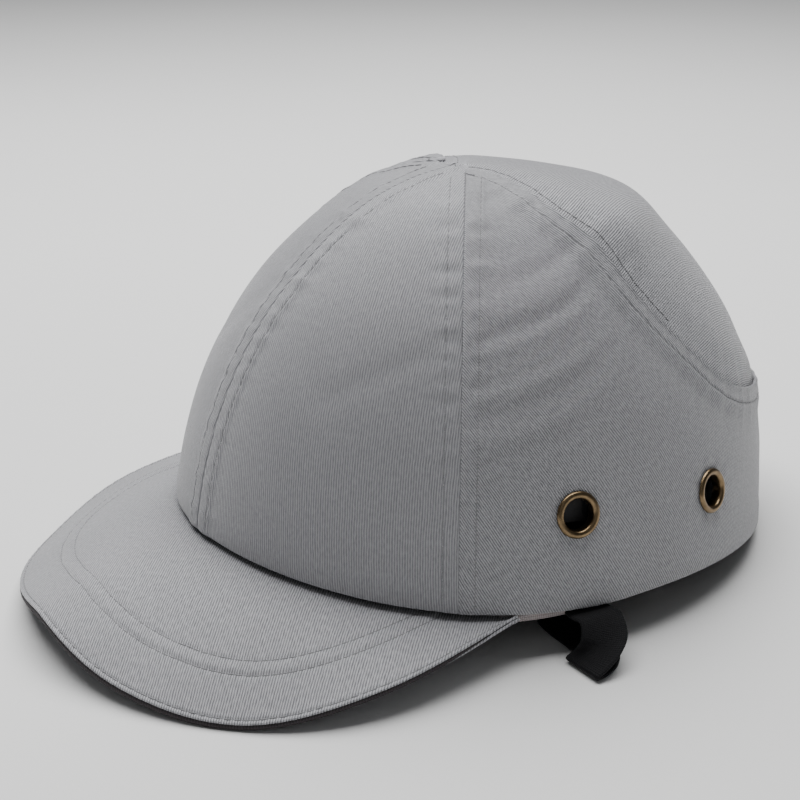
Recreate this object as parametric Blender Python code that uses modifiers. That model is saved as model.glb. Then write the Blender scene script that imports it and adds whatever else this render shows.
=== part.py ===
"""Bump cap: a cotton cap cover with a stiff brim, over a removable impact shell with a chin strap.

Metres, +Z up. The wearer faces -Y and +X is the wearer's left. The origin is on the ground,
under the middle of the cap's bounding box. The cap stands on the rear of its hem and on the
two front corners of its brim.

The crown is one surface: an angle from the front and a rise from the hem (0) to the top (1)
give a point on it. Every layer of the cap lies at its own depth below that surface.
"""
import math

import bmesh
import bpy
from mathutils import Matrix, Vector

MM = 0.001
CAP_NAME = "bump_cap"

# Crown: half axes of the hem, top height, and hem height at the front, side and rear.
CROWN_HALF_WIDTH = 90.3 * MM
CROWN_FRONT_LENGTH = 105.1 * MM
CROWN_REAR_LENGTH = 110.7 * MM
CROWN_HEIGHT = 134.9 * MM
HEM_HEIGHT = {"front": 28.0 * MM, "side": 14.4 * MM, "rear": -1.2 * MM}
# The crown's side view: how fast it draws in towards the top, and how square its shoulder is.
DRAW_IN = {"front": 0.90, "side": 0.78, "rear": 1.14}
SHOULDER = {"front": 1.29, "side": 1.39, "rear": 0.63}
TOP_FORWARD = 3.0 * MM
EGG = 0.03

# Seams of the cover.
SIDE_SEAM_ANGLE = 58.2
SEAM_GAP = 0.4 * MM
# The rear seam leaves the side seam at the top, runs back and dips to the rear: angle and rise.
REAR_SEAM = [(58.2, 0.955), (78.0, 0.955), (93.0, 0.91), (98.5, 0.76), (104.0, 0.66), (107.5, 0.53),
             (114.5, 0.42), (126.0, 0.305), (141.0, 0.256), (160.0, 0.235), (180.0, 0.23)]
FRONT_PANEL_TOP = 0.972
# Share of the rise left free where panels meet across the crown, and the top panel's share of its
# edge, on one side, that meets the front panel.
CROSS_SEAM_RISE = 0.004
TOP_PANEL_FRONT_SHARE = 0.3
# Near the top a seam's gap stays what it is at this distance from the middle.
NARROWEST_RADIUS = 6.0 * MM

# Depths of the layers below the crown's surface.
FABRIC = (0.0, 0.9 * MM)
SEAM_TAPE = (1.4 * MM, 1.9 * MM)
ELASTIC = (1.4 * MM, 2.0 * MM)
SWEATBAND = (2.5 * MM, 3.3 * MM)
LOOP_PATCH = (1.4 * MM, 2.4 * MM)
HOOK_PATCH = (2.8 * MM, 3.7 * MM)
SHELL = (4.2 * MM, 6.0 * MM)
PAD = (6.8 * MM, 11.0 * MM)
ANCHOR = (6.8 * MM, 8.1 * MM)

# Heights above the hem.
SWEATBAND_HEIGHTS = (2.0 * MM, 20.0 * MM)
ELASTIC_HEIGHTS = (2.0 * MM, 12.0 * MM)
ELASTIC_ANGLES = (140, 220)
SHELL_HEIGHT = 27.0 * MM
TAPE_WIDTH = 12.0 * MM
TAPE_RISES = (0.03, 0.88)

# Brim.
BRIM_END_ANGLE = 68.4
BRIM_LENGTH = 121.65 * MM
BRIM_ROUNDNESS = 2.294
BRIM_FLARE = 19.9 * MM
# Height of the upper edge from the middle of the brim to its end.
BRIM_EDGE_HEIGHTS = [14.7 * MM, 6.6 * MM, 2.7 * MM, 10.0 * MM, 16.2 * MM]
BRIM_TUCK = 3.0 * MM
BRIM_BELOW_HEM = 1.6 * MM
BRIM_DROP_CURVE = 1.7
BRIM_TOP = (0.0, 0.7 * MM)
BRIM_BOARD = (1.0 * MM, 2.4 * MM)
BRIM_UNDER = (2.7 * MM, 3.4 * MM)
BRIM_BOARD_MARGIN = 0.05

# Eyelets: angle from the front and height above the hem.
EYELETS = {"front": (80.2, 30.2 * MM), "rear": (111.9, 25.6 * MM)}
EYELET_HOLE_RADIUS = 5.6 * MM
EYELET_BORE = 4.65 * MM
EYELET_BARREL = 5.2 * MM
# The flange, from its lip out to its edge: radius and height above the cloth.
EYELET_FLANGE = [(5.3 * MM, 1.1 * MM), (6.2 * MM, 1.2 * MM), (7.0 * MM, 0.9 * MM), (7.4 * MM, 0.25 * MM)]
EYELET_LIP = 0.6 * MM
WASHER_RADII = (5.5 * MM, 7.0 * MM)
WASHER_DEPTHS = (1.5 * MM, 2.0 * MM)
EYELET_SIDES = 20

# Shell vents: places of the round holes, as angle and rise on one side.
VENT_RADIUS = 4.5 * MM
VENTS = [(38.0, 0.60), (66.0, 0.72), (114.0, 0.72), (140.0, 0.55)]

# Pads and patches on one side: angles and rises.
CROWN_PAD_RISE = 0.66
BROW_PAD = ((-50.0, 50.0), (0.20, 0.36))
REAR_PAD = ((150.0, 210.0), (0.17, 0.33))
SIDE_PAD = ((90.0, 114.0), (0.19, 0.40))
LOOP_PATCH_SPAN = ((78.0, 96.0), (0.58, 0.68))
HOOK_PATCH_SPAN = ((79.0, 95.0), (0.585, 0.675))
ANCHOR_SPAN = ((74.5, 86.5), (0.165, 0.235))

# Chin strap: flat webbing, standing on its edge on the ground inside the cap, with a slack
# loop that bulges out under the hem on each side.
WEBBING_WIDTH = 15.0 * MM
WEBBING_THICKNESS = 1.3 * MM
# Stations of the left tail from the shell to the swinging strap, then of the strap from there to
# its middle: centre in millimetres, measured from the crown's middle, and the direction across.
TAIL_STATIONS = [
    ((71.0, -14.7, 52.0), (0.12, 1, 0)), ((74.6, -14.7, 38.5), (0.12, 1, 0)),
    ((78.6, -14.7, 26.0), (0.12, 1, 0)), ((81.4, -14.7, 18.5), (0.12, 1, 0)),
    ((83.8, -14.7, 14.4), (0.1, 1, 0)), ((88.5, -14.7, 12.9), (0.03, 1, 0)),
    ((94.3, -15.0, 13.5), (0.08, 1, 0)), ((98.9, -17.0, 9.8), (0.38, 0.92, 0.1)),
    ((100.0, -20.3, 6.0), (0.8, 0.55, 0.15)), ((99.8, -23.5, 3.4), (0.97, 0.2, 0.04)),
    ((99.5, -25.5, 1.9), (1, 0.05, 0)), ((98.6, -22.9, 0.8), (1, 0.05, 0)),
    ((96.5, -18.2, 0.8), (0.9, 0.43, 0)), ((92.0, -14.5, 0.8), (0.4, 0.9, 0)),
    ((86.0, -13.3, 0.8), (0.05, 1, 0)), ((78.1, -13.2, 0.8), (0, 1, 0))]
STRAP_STATIONS = [
    ((77.7, -13.2, 0.8), (0, 1, 0)), ((72.0, -12.6, 1.2), (0.1, 1, 0.04)),
    ((66.2, -10.6, 3.4), (0.28, 0.9, 0.33)), ((60.8, -9.0, 6.2), (0.25, 0.62, 0.74)),
    ((56.0, -11.5, 8.1), (0.05, 0.2, 0.98)), ((53.6, -19.0, 8.6), (0, 0, 1)),
    ((53.4, -33.0, 8.7), (0, 0, 1)), ((52.6, -50.0, 8.9), (0, 0, 1)),
    ((49.5, -67.0, 9.1), (0, 0, 1)), ((42.5, -83.0, 9.3), (0, 0, 1)),
    ((33.5, -93.0, 9.6), (0, 0, 1)), ((24.0, -97.0, 9.7), (0, 0, 1)),
    ((12.0, -97.5, 9.7), (0, 0, 1)), ((0.0, -97.5, 9.7), (0, 0, 1))]
STATION_STEPS = 4
SLIDER_SIZE = (12.0 * MM, 4.9 * MM, 18.4 * MM)
SLIDER_SLOT = (2.5 * MM, 16.0 * MM)
SLIDER_BEVEL = 0.8 * MM

WELD = 0.00005
HOLE_CUTTER_LENGTH = 12 * MM
GROUND_WIDTH = 0.5
GROUND_DEPTH = 0.1
# Steps in rise, or in the brim's angle and reach, that a surface's direction is taken over.
CROWN_STEP = 0.002
BRIM_STEP = 0.01
LEVEL_RISE = 0.995


# ---------------------------------------------------------------- frame

def brim_edge_length():
    """How far the brim reaches forward of the crown's middle."""
    return BRIM_LENGTH - hem_point(math.radians(BRIM_END_ANGLE)).y


def crown_centre_y():
    """The crown's middle, placed so that brim tip and rear hem lie equally far from the origin."""
    return (brim_edge_length() - CROWN_REAR_LENGTH) / 2


# ---------------------------------------------------------------- crown surface

def blend(values, angle):
    """A value at this angle from its values at the front, side and rear."""
    cosine = math.cos(angle)
    end = values["front"] if cosine > 0 else values["rear"]
    return end * cosine ** 2 + values["side"] * math.sin(angle) ** 2


def hem_point(angle):
    """The crown's lower edge, from the crown's middle."""
    cosine = math.cos(angle)
    length = CROWN_FRONT_LENGTH if cosine > 0 else CROWN_REAR_LENGTH
    x = CROWN_HALF_WIDTH * math.sin(angle) * (1 - EGG * cosine)
    return Vector((x, -length * cosine, blend(HEM_HEIGHT, angle)))


def crown_point(angle, rise):
    """A point on the crown's outer surface."""
    hem = hem_point(angle)
    height = math.sin(min(max(rise, 0.0), 1.0) * math.pi / 2)
    base = max(1 - height ** (2 / blend(SHOULDER, angle)), 0.0)
    spread = base ** (blend(DRAW_IN, angle) / 2)
    top_y = -TOP_FORWARD
    z = hem.z + (CROWN_HEIGHT - hem.z) * height
    return Vector((hem.x * spread, crown_centre_y() + top_y + (hem.y - top_y) * spread, z))


def crown_normal(angle, rise):
    """The outward direction at a point of the crown."""
    if rise > LEVEL_RISE:
        return Vector((0, 0, 1))
    low = max(rise - CROWN_STEP, 0.0)
    along = crown_point(angle + CROWN_STEP, rise) - crown_point(angle - CROWN_STEP, rise)
    up = crown_point(angle, rise + CROWN_STEP) - crown_point(angle, low)
    return along.cross(up).normalized()


def inside_point(angle, rise, depth):
    """A point at this depth below the crown's surface."""
    return crown_point(angle, rise) - crown_normal(angle, rise) * depth


def seam_margin(rise):
    """Half of a seam's gap, as an angle round the crown."""
    return SEAM_GAP / 2 / max(abs(crown_point(math.pi / 2, rise).x), NARROWEST_RADIUS)


def rise_at(angle, height):
    """The rise of the point that is this far above the hem."""
    return math.asin(height / (CROWN_HEIGHT - hem_point(angle).z)) * 2 / math.pi


def smooth(values, t):
    """A smooth curve through evenly spaced values, numbers or vectors, at t from 0 to 1."""
    last = len(values) - 1
    index = min(int(t * last), last - 1)
    part = t * last - index
    a = values[max(index - 1, 0)]
    b, c = values[index], values[index + 1]
    d = values[min(index + 2, last)]
    return b + (c - a) * (part / 2) + (a * 2 - b * 5 + c * 4 - d) * (part ** 2 / 2) + (
        b * 3 - a - c * 3 + d) * (part ** 3 / 2)


def rear_seam(t):
    """Angle and rise of the rear seam, from the side seam at 0 to the middle of the rear at 1."""
    angle = smooth([math.radians(station[0]) for station in REAR_SEAM], t)
    return angle, smooth([station[1] for station in REAR_SEAM], t)


# ---------------------------------------------------------------- building

def new_material(name, colour, roughness, metallic=0.0):
    """A plain Principled material."""
    material = bpy.data.materials.new(name)
    material.use_nodes = True
    shader = material.node_tree.nodes["Principled BSDF"]
    shader.inputs["Base Color"].default_value = (*colour, 1)
    shader.inputs["Roughness"].default_value = roughness
    shader.inputs["Metallic"].default_value = metallic
    return material


def add_object(name, mesh_data, material, collection="parts"):
    """Links a finished bmesh to the scene as one named object."""
    mesh = bpy.data.meshes.new(name)
    mesh_data.to_mesh(mesh)
    mesh_data.free()
    mesh.shade_smooth()
    mesh.set_sharp_from_angle(angle=math.radians(40))
    if material:
        mesh.materials.append(material)
    part = bpy.data.objects.new(name, mesh)
    collections[collection].objects.link(part)
    return part


def bent_grid(name, place, columns, rows, thickness, material, offset=-1):
    """A thin piece: a grid bent by place(u, v), then thickened inwards."""
    grid = bmesh.new()
    bmesh.ops.create_grid(grid, x_segments=columns, y_segments=rows, size=0.5)
    for vertex in grid.verts:
        vertex.co = place(round(vertex.co.x + 0.5, 6), round(vertex.co.y + 0.5, 6))
    bmesh.ops.remove_doubles(grid, verts=grid.verts, dist=WELD)
    piece = add_object(name, grid, material)
    skin = piece.modifiers.new("thickness", "SOLIDIFY")
    skin.thickness = thickness
    skin.offset = offset
    skin.use_even_offset = True
    return piece


def flipped(place):
    """The same surface on the wearer's right."""
    def place_right(u, v):
        point = place(1 - u, v)
        return Vector((-point.x, point.y, point.z))
    return place_right


def both_sides(name, place, *arguments):
    """A piece on the left and its mirror image on the right, as two objects."""
    left = bent_grid(name + "_left", place, *arguments)
    right = bent_grid(name + "_right", flipped(place), *arguments)
    return left, right


def patch(angles, rises, depth):
    """A rectangle of the crown, between two angles and two rises."""
    def place(u, v):
        angle = math.radians(angles[0] + (angles[1] - angles[0]) * u)
        return inside_point(angle, rises[0] + (rises[1] - rises[0]) * v, depth)
    return place


def thickness_of(layer):
    """The thickness of a layer, from its two depths."""
    return layer[1] - layer[0]


def cut(piece, cutter):
    """Cuts a cutter's shape out of a piece."""
    boolean = piece.modifiers.new("cut", "BOOLEAN")
    boolean.operation = "DIFFERENCE"
    boolean.solver = "EXACT"
    boolean.object = cutter


def as_cutter(cutter):
    """Hides a cutter from renders and draws it as a wire frame."""
    cutter.hide_render = True
    cutter.display_type = "WIRE"
    return cutter


def facing(centre, direction):
    """The transform that puts an object's Z axis along a direction, at a centre."""
    return Matrix.Translation(centre) @ direction.to_track_quat("Z", "Y").to_matrix().to_4x4()


def cylinder_cutter(name, centre, direction, radius):
    """A round cutter along a direction."""
    rod = bmesh.new()
    bmesh.ops.create_cone(rod, cap_ends=True, segments=16, radius1=radius, radius2=radius,
                          depth=HOLE_CUTTER_LENGTH)
    cutter = add_object(name, rod, None, "cutters")
    cutter.matrix_world = facing(centre, direction)
    return as_cutter(cutter)


def box_cutter(name, centre, size):
    """A box-shaped cutter."""
    box = bmesh.new()
    bmesh.ops.create_cube(box, size=1.0, matrix=Matrix.Diagonal((*size, 1)))
    cutter = add_object(name, box, None, "cutters")
    cutter.location = centre
    return as_cutter(cutter)


def turned(name, profile, material):
    """A ring turned from a closed profile of radius and height pairs."""
    outline = bmesh.new()
    points = [outline.verts.new((radius, 0, height)) for radius, height in profile]
    for first, second in zip(points, points[1:] + points[:1]):
        outline.edges.new((first, second))
    ring = add_object(name, outline, material)
    screw = ring.modifiers.new("turn", "SCREW")
    screw.steps = EYELET_SIDES
    screw.render_steps = EYELET_SIDES
    screw.use_merge_vertices = True
    screw.merge_threshold = WELD
    screw.use_smooth_shade = True
    return ring


# ---------------------------------------------------------------- cap cover

def front_panels(cotton):
    """The two front panels, from the centre seam to the side seams."""
    def place(u, v):
        top = FRONT_PANEL_TOP + (REAR_SEAM[0][1] - FRONT_PANEL_TOP) * u - CROSS_SEAM_RISE
        rise = top * v
        margin = seam_margin(rise)
        angle = margin + (math.radians(SIDE_SEAM_ANGLE) - 2 * margin) * u
        return inside_point(angle, rise, FABRIC[0])
    return both_sides("front_panel", place, 10, 18, thickness_of(FABRIC), cotton)


def side_panels(cotton, floor):
    """The side panels, from the side seam round to the middle of the rear."""
    def place(u, v):
        seam_angle, seam_rise = rear_seam(u)
        hem_angle = math.radians(SIDE_SEAM_ANGLE + (180 - SIDE_SEAM_ANGLE) * u)
        rise = (seam_rise - CROSS_SEAM_RISE) * v
        margin = seam_margin(rise) * (1 - 2 * min(3 * u, 1))
        return inside_point(hem_angle + (seam_angle - hem_angle) * v + margin, rise, FABRIC[0])
    panels = both_sides("side_panel", place, 28, 12, thickness_of(FABRIC), cotton)
    for panel in panels:
        cut(panel, floor)
    return panels


def rear_top_panel(cotton):
    """The panel over the top and down the rear, inside the rear seam."""
    def place(u, v):
        side = 1 if u <= 0.5 else -1
        turn = 2 * min(u, 1 - u)
        if turn < TOP_PANEL_FRONT_SHARE:
            across = turn / TOP_PANEL_FRONT_SHARE
            angle = math.radians(SIDE_SEAM_ANGLE) * across
            edge = FRONT_PANEL_TOP + (REAR_SEAM[0][1] - FRONT_PANEL_TOP) * across
        else:
            angle, edge = rear_seam((turn - TOP_PANEL_FRONT_SHARE) / (1 - TOP_PANEL_FRONT_SHARE))
        clear = SEAM_GAP / CROWN_HALF_WIDTH * math.sin(angle) ** 2
        rise = edge + CROSS_SEAM_RISE + (1 - CROSS_SEAM_RISE - edge) * v
        return inside_point(side * (angle + clear * (1 - v)), rise, FABRIC[0])
    return bent_grid("rear_top_panel", place, 80, 4, thickness_of(FABRIC), cotton)


def brim_edge(angle):
    """The upper outer edge of the brim; the angle runs from -90 to 90 degrees."""
    share = abs(angle) / (math.pi / 2)
    side = math.copysign(1, angle)
    end = hem_point(math.radians(BRIM_END_ANGLE))
    power = 2 / BRIM_ROUNDNESS
    x = side * end.x * abs(math.sin(angle)) ** power + side * BRIM_FLARE * math.sin(math.pi * share) * share
    y = end.y - BRIM_LENGTH * abs(math.cos(angle)) ** power
    return Vector((x, crown_centre_y() + y, smooth(BRIM_EDGE_HEIGHTS, share)))


def brim_surface(angle, out):
    """A point of the brim's upper surface, from under the hem (out 0) to the edge (out 1)."""
    inner = inside_point(angle * BRIM_END_ANGLE / 90, 0, BRIM_TUCK)
    outer = brim_edge(angle)
    point = inner.lerp(outer, out)
    start = inner.z - BRIM_BELOW_HEM
    point.z = start + (outer.z - start) * out ** BRIM_DROP_CURVE
    return point


def brim_point(angle, out, depth):
    """A point at this depth below the brim's upper surface."""
    middle = min(max(angle, BRIM_STEP - math.pi / 2), math.pi / 2 - BRIM_STEP)
    low, high = max(out - BRIM_STEP, 0.0), min(out + BRIM_STEP, 1.0)
    along = brim_surface(middle + BRIM_STEP, out) - brim_surface(middle - BRIM_STEP, out)
    outward = brim_surface(angle, high) - brim_surface(angle, low)
    normal = outward.cross(along).normalized()
    return brim_surface(angle, out) - normal * depth


def brim_layer(name, layer, margin, material):
    """One layer of the brim, keeping a margin of its width from its edge."""
    def place(u, v):
        angle = math.pi * (u - 0.5) * (1 - margin)
        out = (1 - v) * (1 - margin)
        return brim_point(angle, out, layer[0])
    return bent_grid(name, place, 32, 5, thickness_of(layer), material)


def make_brim(cotton, lining, board, floor):
    """The brim: top cover, stiffening board and under cover."""
    layers = [brim_layer("brim_top_cover", BRIM_TOP, 0, cotton),
              brim_layer("brim_board", BRIM_BOARD, BRIM_BOARD_MARGIN, board),
              brim_layer("brim_under_cover", BRIM_UNDER, 0, lining)]
    for layer in layers:
        cut(layer, floor)


def band(heights, depth, angles=(0, 360)):
    """A strip of the crown between two heights above the hem."""
    def place(u, v):
        angle = math.radians(angles[0] + (angles[1] - angles[0]) * (u % 1 if angles == (0, 360) else u))
        return inside_point(angle, rise_at(angle, heights[0] + (heights[1] - heights[0]) * v), depth)
    return place


def seam_tape(seam_angle):
    """A tape over the inside of an upright seam."""
    def place(u, v):
        rise = TAPE_RISES[0] + (TAPE_RISES[1] - TAPE_RISES[0]) * v
        point = crown_point(seam_angle, rise)
        radius = math.hypot(point.x, point.y - crown_centre_y())
        return inside_point(seam_angle + (u - 0.5) * TAPE_WIDTH / radius, rise, SEAM_TAPE[0])
    return place


def make_bands(tape, towelling):
    """The sweatband, the rear elastic and the seam tapes."""
    bent_grid("sweatband", band(SWEATBAND_HEIGHTS, SWEATBAND[0]), 48, 2, thickness_of(SWEATBAND), towelling)
    bent_grid("rear_elastic", band(ELASTIC_HEIGHTS, ELASTIC[0], ELASTIC_ANGLES), 14, 1,
              thickness_of(ELASTIC), tape)
    bent_grid("centre_seam_tape", seam_tape(0.0), 2, 14, thickness_of(SEAM_TAPE), tape)
    both_sides("side_seam_tape", seam_tape(math.radians(SIDE_SEAM_ANGLE)), 2, 14,
               thickness_of(SEAM_TAPE), tape)


def make_eyelet(name, angle, rise, mirror, brass, panel):
    """An eyelet through a side panel, with its washer inside."""
    centre = crown_point(angle, rise)
    outward = crown_normal(angle, rise)
    centre.x *= mirror
    outward.x *= mirror
    cut(panel, cylinder_cutter(name + "_hole", centre, outward, EYELET_HOLE_RADIUS))
    place = facing(centre, outward)
    ring = EYELET_FLANGE + [(EYELET_BARREL, EYELET_FLANGE[-1][1]), (EYELET_BARREL, -WASHER_DEPTHS[1]),
                            (EYELET_BORE, -WASHER_DEPTHS[1]), (EYELET_BORE, EYELET_LIP)]
    turned("eyelet_" + name, ring, brass).matrix_world = place
    inner, outer = WASHER_RADII
    washer = [(outer, -WASHER_DEPTHS[0]), (outer, -WASHER_DEPTHS[1]),
              (inner, -WASHER_DEPTHS[1]), (inner, -WASHER_DEPTHS[0])]
    turned("eyelet_washer_" + name, washer, brass).matrix_world = place


def make_eyelets(brass, panels):
    """Four eyelets, two on each side."""
    for place, (degrees, height) in EYELETS.items():
        angle = math.radians(degrees)
        for side, mirror, panel in (("left", 1, panels[0]), ("right", -1, panels[1])):
            make_eyelet(place + "_" + side, angle, rise_at(angle, height), mirror, brass, panel)


# ---------------------------------------------------------------- insert

def dome(depth, edge_rise):
    """The crown above an edge, whose rise may depend on the angle."""
    def place(u, v):
        angle = math.tau * (u % 1)
        edge = edge_rise(angle)
        return inside_point(angle, edge + (1 - edge) * v, depth)
    return place


def make_shell(plastic):
    """The impact shell with its vents."""
    shell = bent_grid("impact_shell", dome(SHELL[0], lambda angle: rise_at(angle, SHELL_HEIGHT)), 48, 10,
                      thickness_of(SHELL), plastic)
    for index, (degrees, rise) in enumerate(VENTS):
        for side in (1, -1):
            angle = math.radians(degrees * side)
            cut(shell, cylinder_cutter(f"vent_{index}_{side}", inside_point(angle, rise, SHELL[0]),
                                       crown_normal(angle, rise), VENT_RADIUS))


def make_pads(foam):
    """Foam pads inside the shell."""
    thickness = thickness_of(PAD)
    bent_grid("crown_pad", dome(PAD[0], lambda angle: CROWN_PAD_RISE), 32, 4, thickness, foam)
    bent_grid("brow_pad", patch(*BROW_PAD, PAD[0]), 12, 2, thickness, foam)
    bent_grid("rear_pad", patch(*REAR_PAD, PAD[0]), 10, 2, thickness, foam)
    both_sides("side_pad", patch(*SIDE_PAD, PAD[0]), 4, 3, thickness, foam)


def make_fastenings(plastic, tape):
    """Hook-and-loop patches between cover and shell, and the plates that hold the chin strap."""
    both_sides("loop_patch", patch(*LOOP_PATCH_SPAN, LOOP_PATCH[0]), 3, 2, thickness_of(LOOP_PATCH), tape)
    both_sides("hook_patch", patch(*HOOK_PATCH_SPAN, HOOK_PATCH[0]), 3, 2, thickness_of(HOOK_PATCH), tape)
    both_sides("strap_anchor", patch(*ANCHOR_SPAN, ANCHOR[0]), 3, 2, thickness_of(ANCHOR), plastic)


# ---------------------------------------------------------------- chin strap

def from_crown(millimetres):
    """A place measured from the crown's middle, in the cap's frame."""
    x, y, z = millimetres
    return Vector((x * MM, y * MM + crown_centre_y(), z * MM))


def webbing(stations):
    """Flat webbing along its stations."""
    centres = [from_crown(centre) for centre, _ in stations]
    across = [Vector(direction).normalized() for _, direction in stations]

    def place(u, v):
        direction = smooth(across, v).normalized()
        return smooth(centres, v) + direction * ((u - 0.5) * WEBBING_WIDTH)
    return place


def mirrored_stations(stations):
    """The stations of both halves, from the left end through the middle to the right end."""
    return stations + [((-x, y, z), (-a, b, c)) for (x, y, z), (a, b, c) in stations[-2::-1]]


def make_strap(black):
    """The tails that hang from the shell, and the strap between them."""
    rows = (len(TAIL_STATIONS) - 1) * STATION_STEPS
    both_sides("strap_tail", webbing(TAIL_STATIONS), 1, rows, WEBBING_THICKNESS, black, 0)
    stations = mirrored_stations(STRAP_STATIONS)
    rows = (len(stations) - 1) * STATION_STEPS
    bent_grid("chin_strap", webbing(stations), 1, rows, WEBBING_THICKNESS, black, 0)


def make_slider(plastic):
    """The slider on the strap's straight stretch, a flat sleeve with a slot along X."""
    centre = from_crown(STRAP_STATIONS[-1][0])
    body = bmesh.new()
    bmesh.ops.create_cube(body, size=1.0, matrix=Matrix.Diagonal((*SLIDER_SIZE, 1)))
    slider = add_object("strap_slider", body, plastic)
    slider.location = centre
    bevel = slider.modifiers.new("edges", "BEVEL")
    bevel.width = SLIDER_BEVEL
    bevel.segments = 2
    cut(slider, box_cutter("slider_slot", centre, (2 * SLIDER_SIZE[0], *SLIDER_SLOT)))


# ---------------------------------------------------------------- assembly

def clear_scene():
    """Removes whatever the scene holds."""
    for item in list(bpy.data.objects):
        bpy.data.objects.remove(item, do_unlink=True)


def new_collection(name):
    """A collection under the scene."""
    collection = bpy.data.collections.new(name)
    bpy.context.scene.collection.children.link(collection)
    return collection


def main():
    """Builds the cap."""
    cotton = new_material("light_grey_cotton", (0.42, 0.42, 0.44), 0.9)
    lining = new_material("brim_lining", (0.10, 0.10, 0.11), 0.9)
    board = new_material("brim_board_plastic", (0.8, 0.8, 0.78), 0.5)
    tape = new_material("black_tape", (0.03, 0.03, 0.03), 0.95)
    towelling = new_material("sweatband_towelling", (0.07, 0.07, 0.08), 1.0)
    brass = new_material("antique_brass", (0.30, 0.22, 0.12), 0.35, 1.0)
    plastic = new_material("shell_plastic", (0.02, 0.02, 0.022), 0.45)
    foam = new_material("pad_foam", (0.05, 0.05, 0.055), 0.95)
    black = new_material("strap_webbing", (0.012, 0.012, 0.014), 0.8)

    floor = box_cutter("ground", (0, 0, -GROUND_DEPTH / 2), (GROUND_WIDTH, GROUND_WIDTH, GROUND_DEPTH))
    front_panels(cotton)
    panels = side_panels(cotton, floor)
    rear_top_panel(cotton)
    make_brim(cotton, lining, board, floor)
    make_bands(tape, towelling)
    make_eyelets(brass, panels)
    make_shell(plastic)
    make_pads(foam)
    make_fastenings(plastic, tape)
    make_strap(black)
    make_slider(plastic)


clear_scene()
collections = {"parts": new_collection(CAP_NAME), "cutters": new_collection("cutters")}
main()
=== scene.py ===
"""Bump cap: the cloth, seams, brass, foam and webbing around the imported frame.

Metres, +Z up; the brim points to -Y and +X is the wearer's left. The crown is one surface, from an
angle round it and a rise from the hem (0) to the top (1). Panels, stitches and linings are all laid
on that surface, each with its own relief.
"""
import math

import bmesh
import bpy
import numpy as np
from mathutils import Matrix, Vector


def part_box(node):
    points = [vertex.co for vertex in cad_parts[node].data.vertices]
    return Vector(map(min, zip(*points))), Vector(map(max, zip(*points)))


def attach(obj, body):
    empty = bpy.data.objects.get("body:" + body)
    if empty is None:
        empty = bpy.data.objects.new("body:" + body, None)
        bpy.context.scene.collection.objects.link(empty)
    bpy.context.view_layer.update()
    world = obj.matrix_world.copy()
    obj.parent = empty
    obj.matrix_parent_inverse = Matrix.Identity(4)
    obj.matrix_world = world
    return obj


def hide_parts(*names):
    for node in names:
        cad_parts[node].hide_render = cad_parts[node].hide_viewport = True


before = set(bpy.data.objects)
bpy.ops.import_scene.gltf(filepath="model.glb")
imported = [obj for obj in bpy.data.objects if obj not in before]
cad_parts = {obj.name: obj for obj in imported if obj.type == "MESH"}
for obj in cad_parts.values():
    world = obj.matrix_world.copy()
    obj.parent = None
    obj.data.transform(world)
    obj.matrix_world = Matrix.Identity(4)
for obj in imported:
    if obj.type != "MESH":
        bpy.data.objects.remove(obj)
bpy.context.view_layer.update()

MM = 0.001

# ---------------------------------------------------------------- sizes, from the frame
CAP_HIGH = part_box("side_panel_left")[1]
HALF_WIDTH = CAP_HIGH[0] + 0.1 * MM
REAR_Y = CAP_HIGH[1]
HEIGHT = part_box("rear_top_panel")[1][2]
REAR_LENGTH = 110.7 * MM
CENTRE_Y = REAR_Y - REAR_LENGTH
FRONT_LENGTH = CENTRE_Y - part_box("front_panel_left")[0][1]

# The crown's shape at the front, side and rear, as in the frame's model.
HEM_HEIGHT = (28.0 * MM, 14.4 * MM, -1.2 * MM)
DRAW_IN = (0.90, 0.78, 1.14)
SHOULDER = (1.29, 1.39, 0.63)
TOP_FORWARD = 3.0 * MM
EGG = 0.03
SIDE_SEAM = math.radians(58.2)
# The rear seam's stations from the side seam to the middle of the rear: degrees round, and rise.
REAR_SEAM = [(58.2, 0.955), (78.0, 0.955), (93.0, 0.91), (98.5, 0.76), (104.0, 0.66), (107.5, 0.53),
             (114.5, 0.42), (126.0, 0.305), (141.0, 0.256), (160.0, 0.235), (180.0, 0.23)]
FRONT_PANEL_TOP = 0.978
TOP_PANEL_END = 0.9985
TOP_FRONT_SHARE = 0.14  # of the top panel's edge, from its front to the side seam
SIDE_PANEL_MIDDLE = math.radians(96)

# Cloth.
CLOTH = 0.45 * MM
HEM_ROLL = 0.8 * MM
HEM_ALLOWANCE = 12.0 * MM
SEAM_ROLL = 0.55 * MM
SEAM_MARGIN = 0.03 * MM
WALL_DEPTH = 0.9 * MM
STITCH_INSET = 5.0 * MM
STITCH_PITCH = 2.7 * MM
REAR_FOLD = 1.0 * MM
REAR_SINK = 0.5 * MM
REAR_FOLD_RADIUS = 0.58 * MM
FOLD_DEPTH = 3 * MM
FRONT_FOLD_RADIUS = 0.3 * MM
LOWEST_CLOTH = 0.55 * MM
TWILL_PITCH = 0.78  # in the millimetres of the cloth's UV map

# Relief of the cloth over the crown's smooth surface.
SEAM_RIDGE = 0.45 * MM
STITCH_DIP = 0.3 * MM
PUCKER = 0.34 * MM
PUCKER_PITCH = 5.6 * MM
HEM_RIDGE = 0.3 * MM
HEM_BAND = (6 * MM, 10 * MM)
SLACK = 0.35 * MM
FRONT_CREASE = 0.35 * MM
DRAG_FOLD = 0.62 * MM
DRAG_PITCH = 11.5 * MM
REAR_BULGE = 2.6 * MM
REAR_BULGE_ABOVE_SEAM = 3.3 * MM
REAR_GATHER = 0.5 * MM
REAR_GATHER_PITCH = 8.6 * MM
EYELET_DIP = 0.35 * MM
EYELET_PUCKER = 0.15 * MM
WELD = 0.02 * MM

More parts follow.
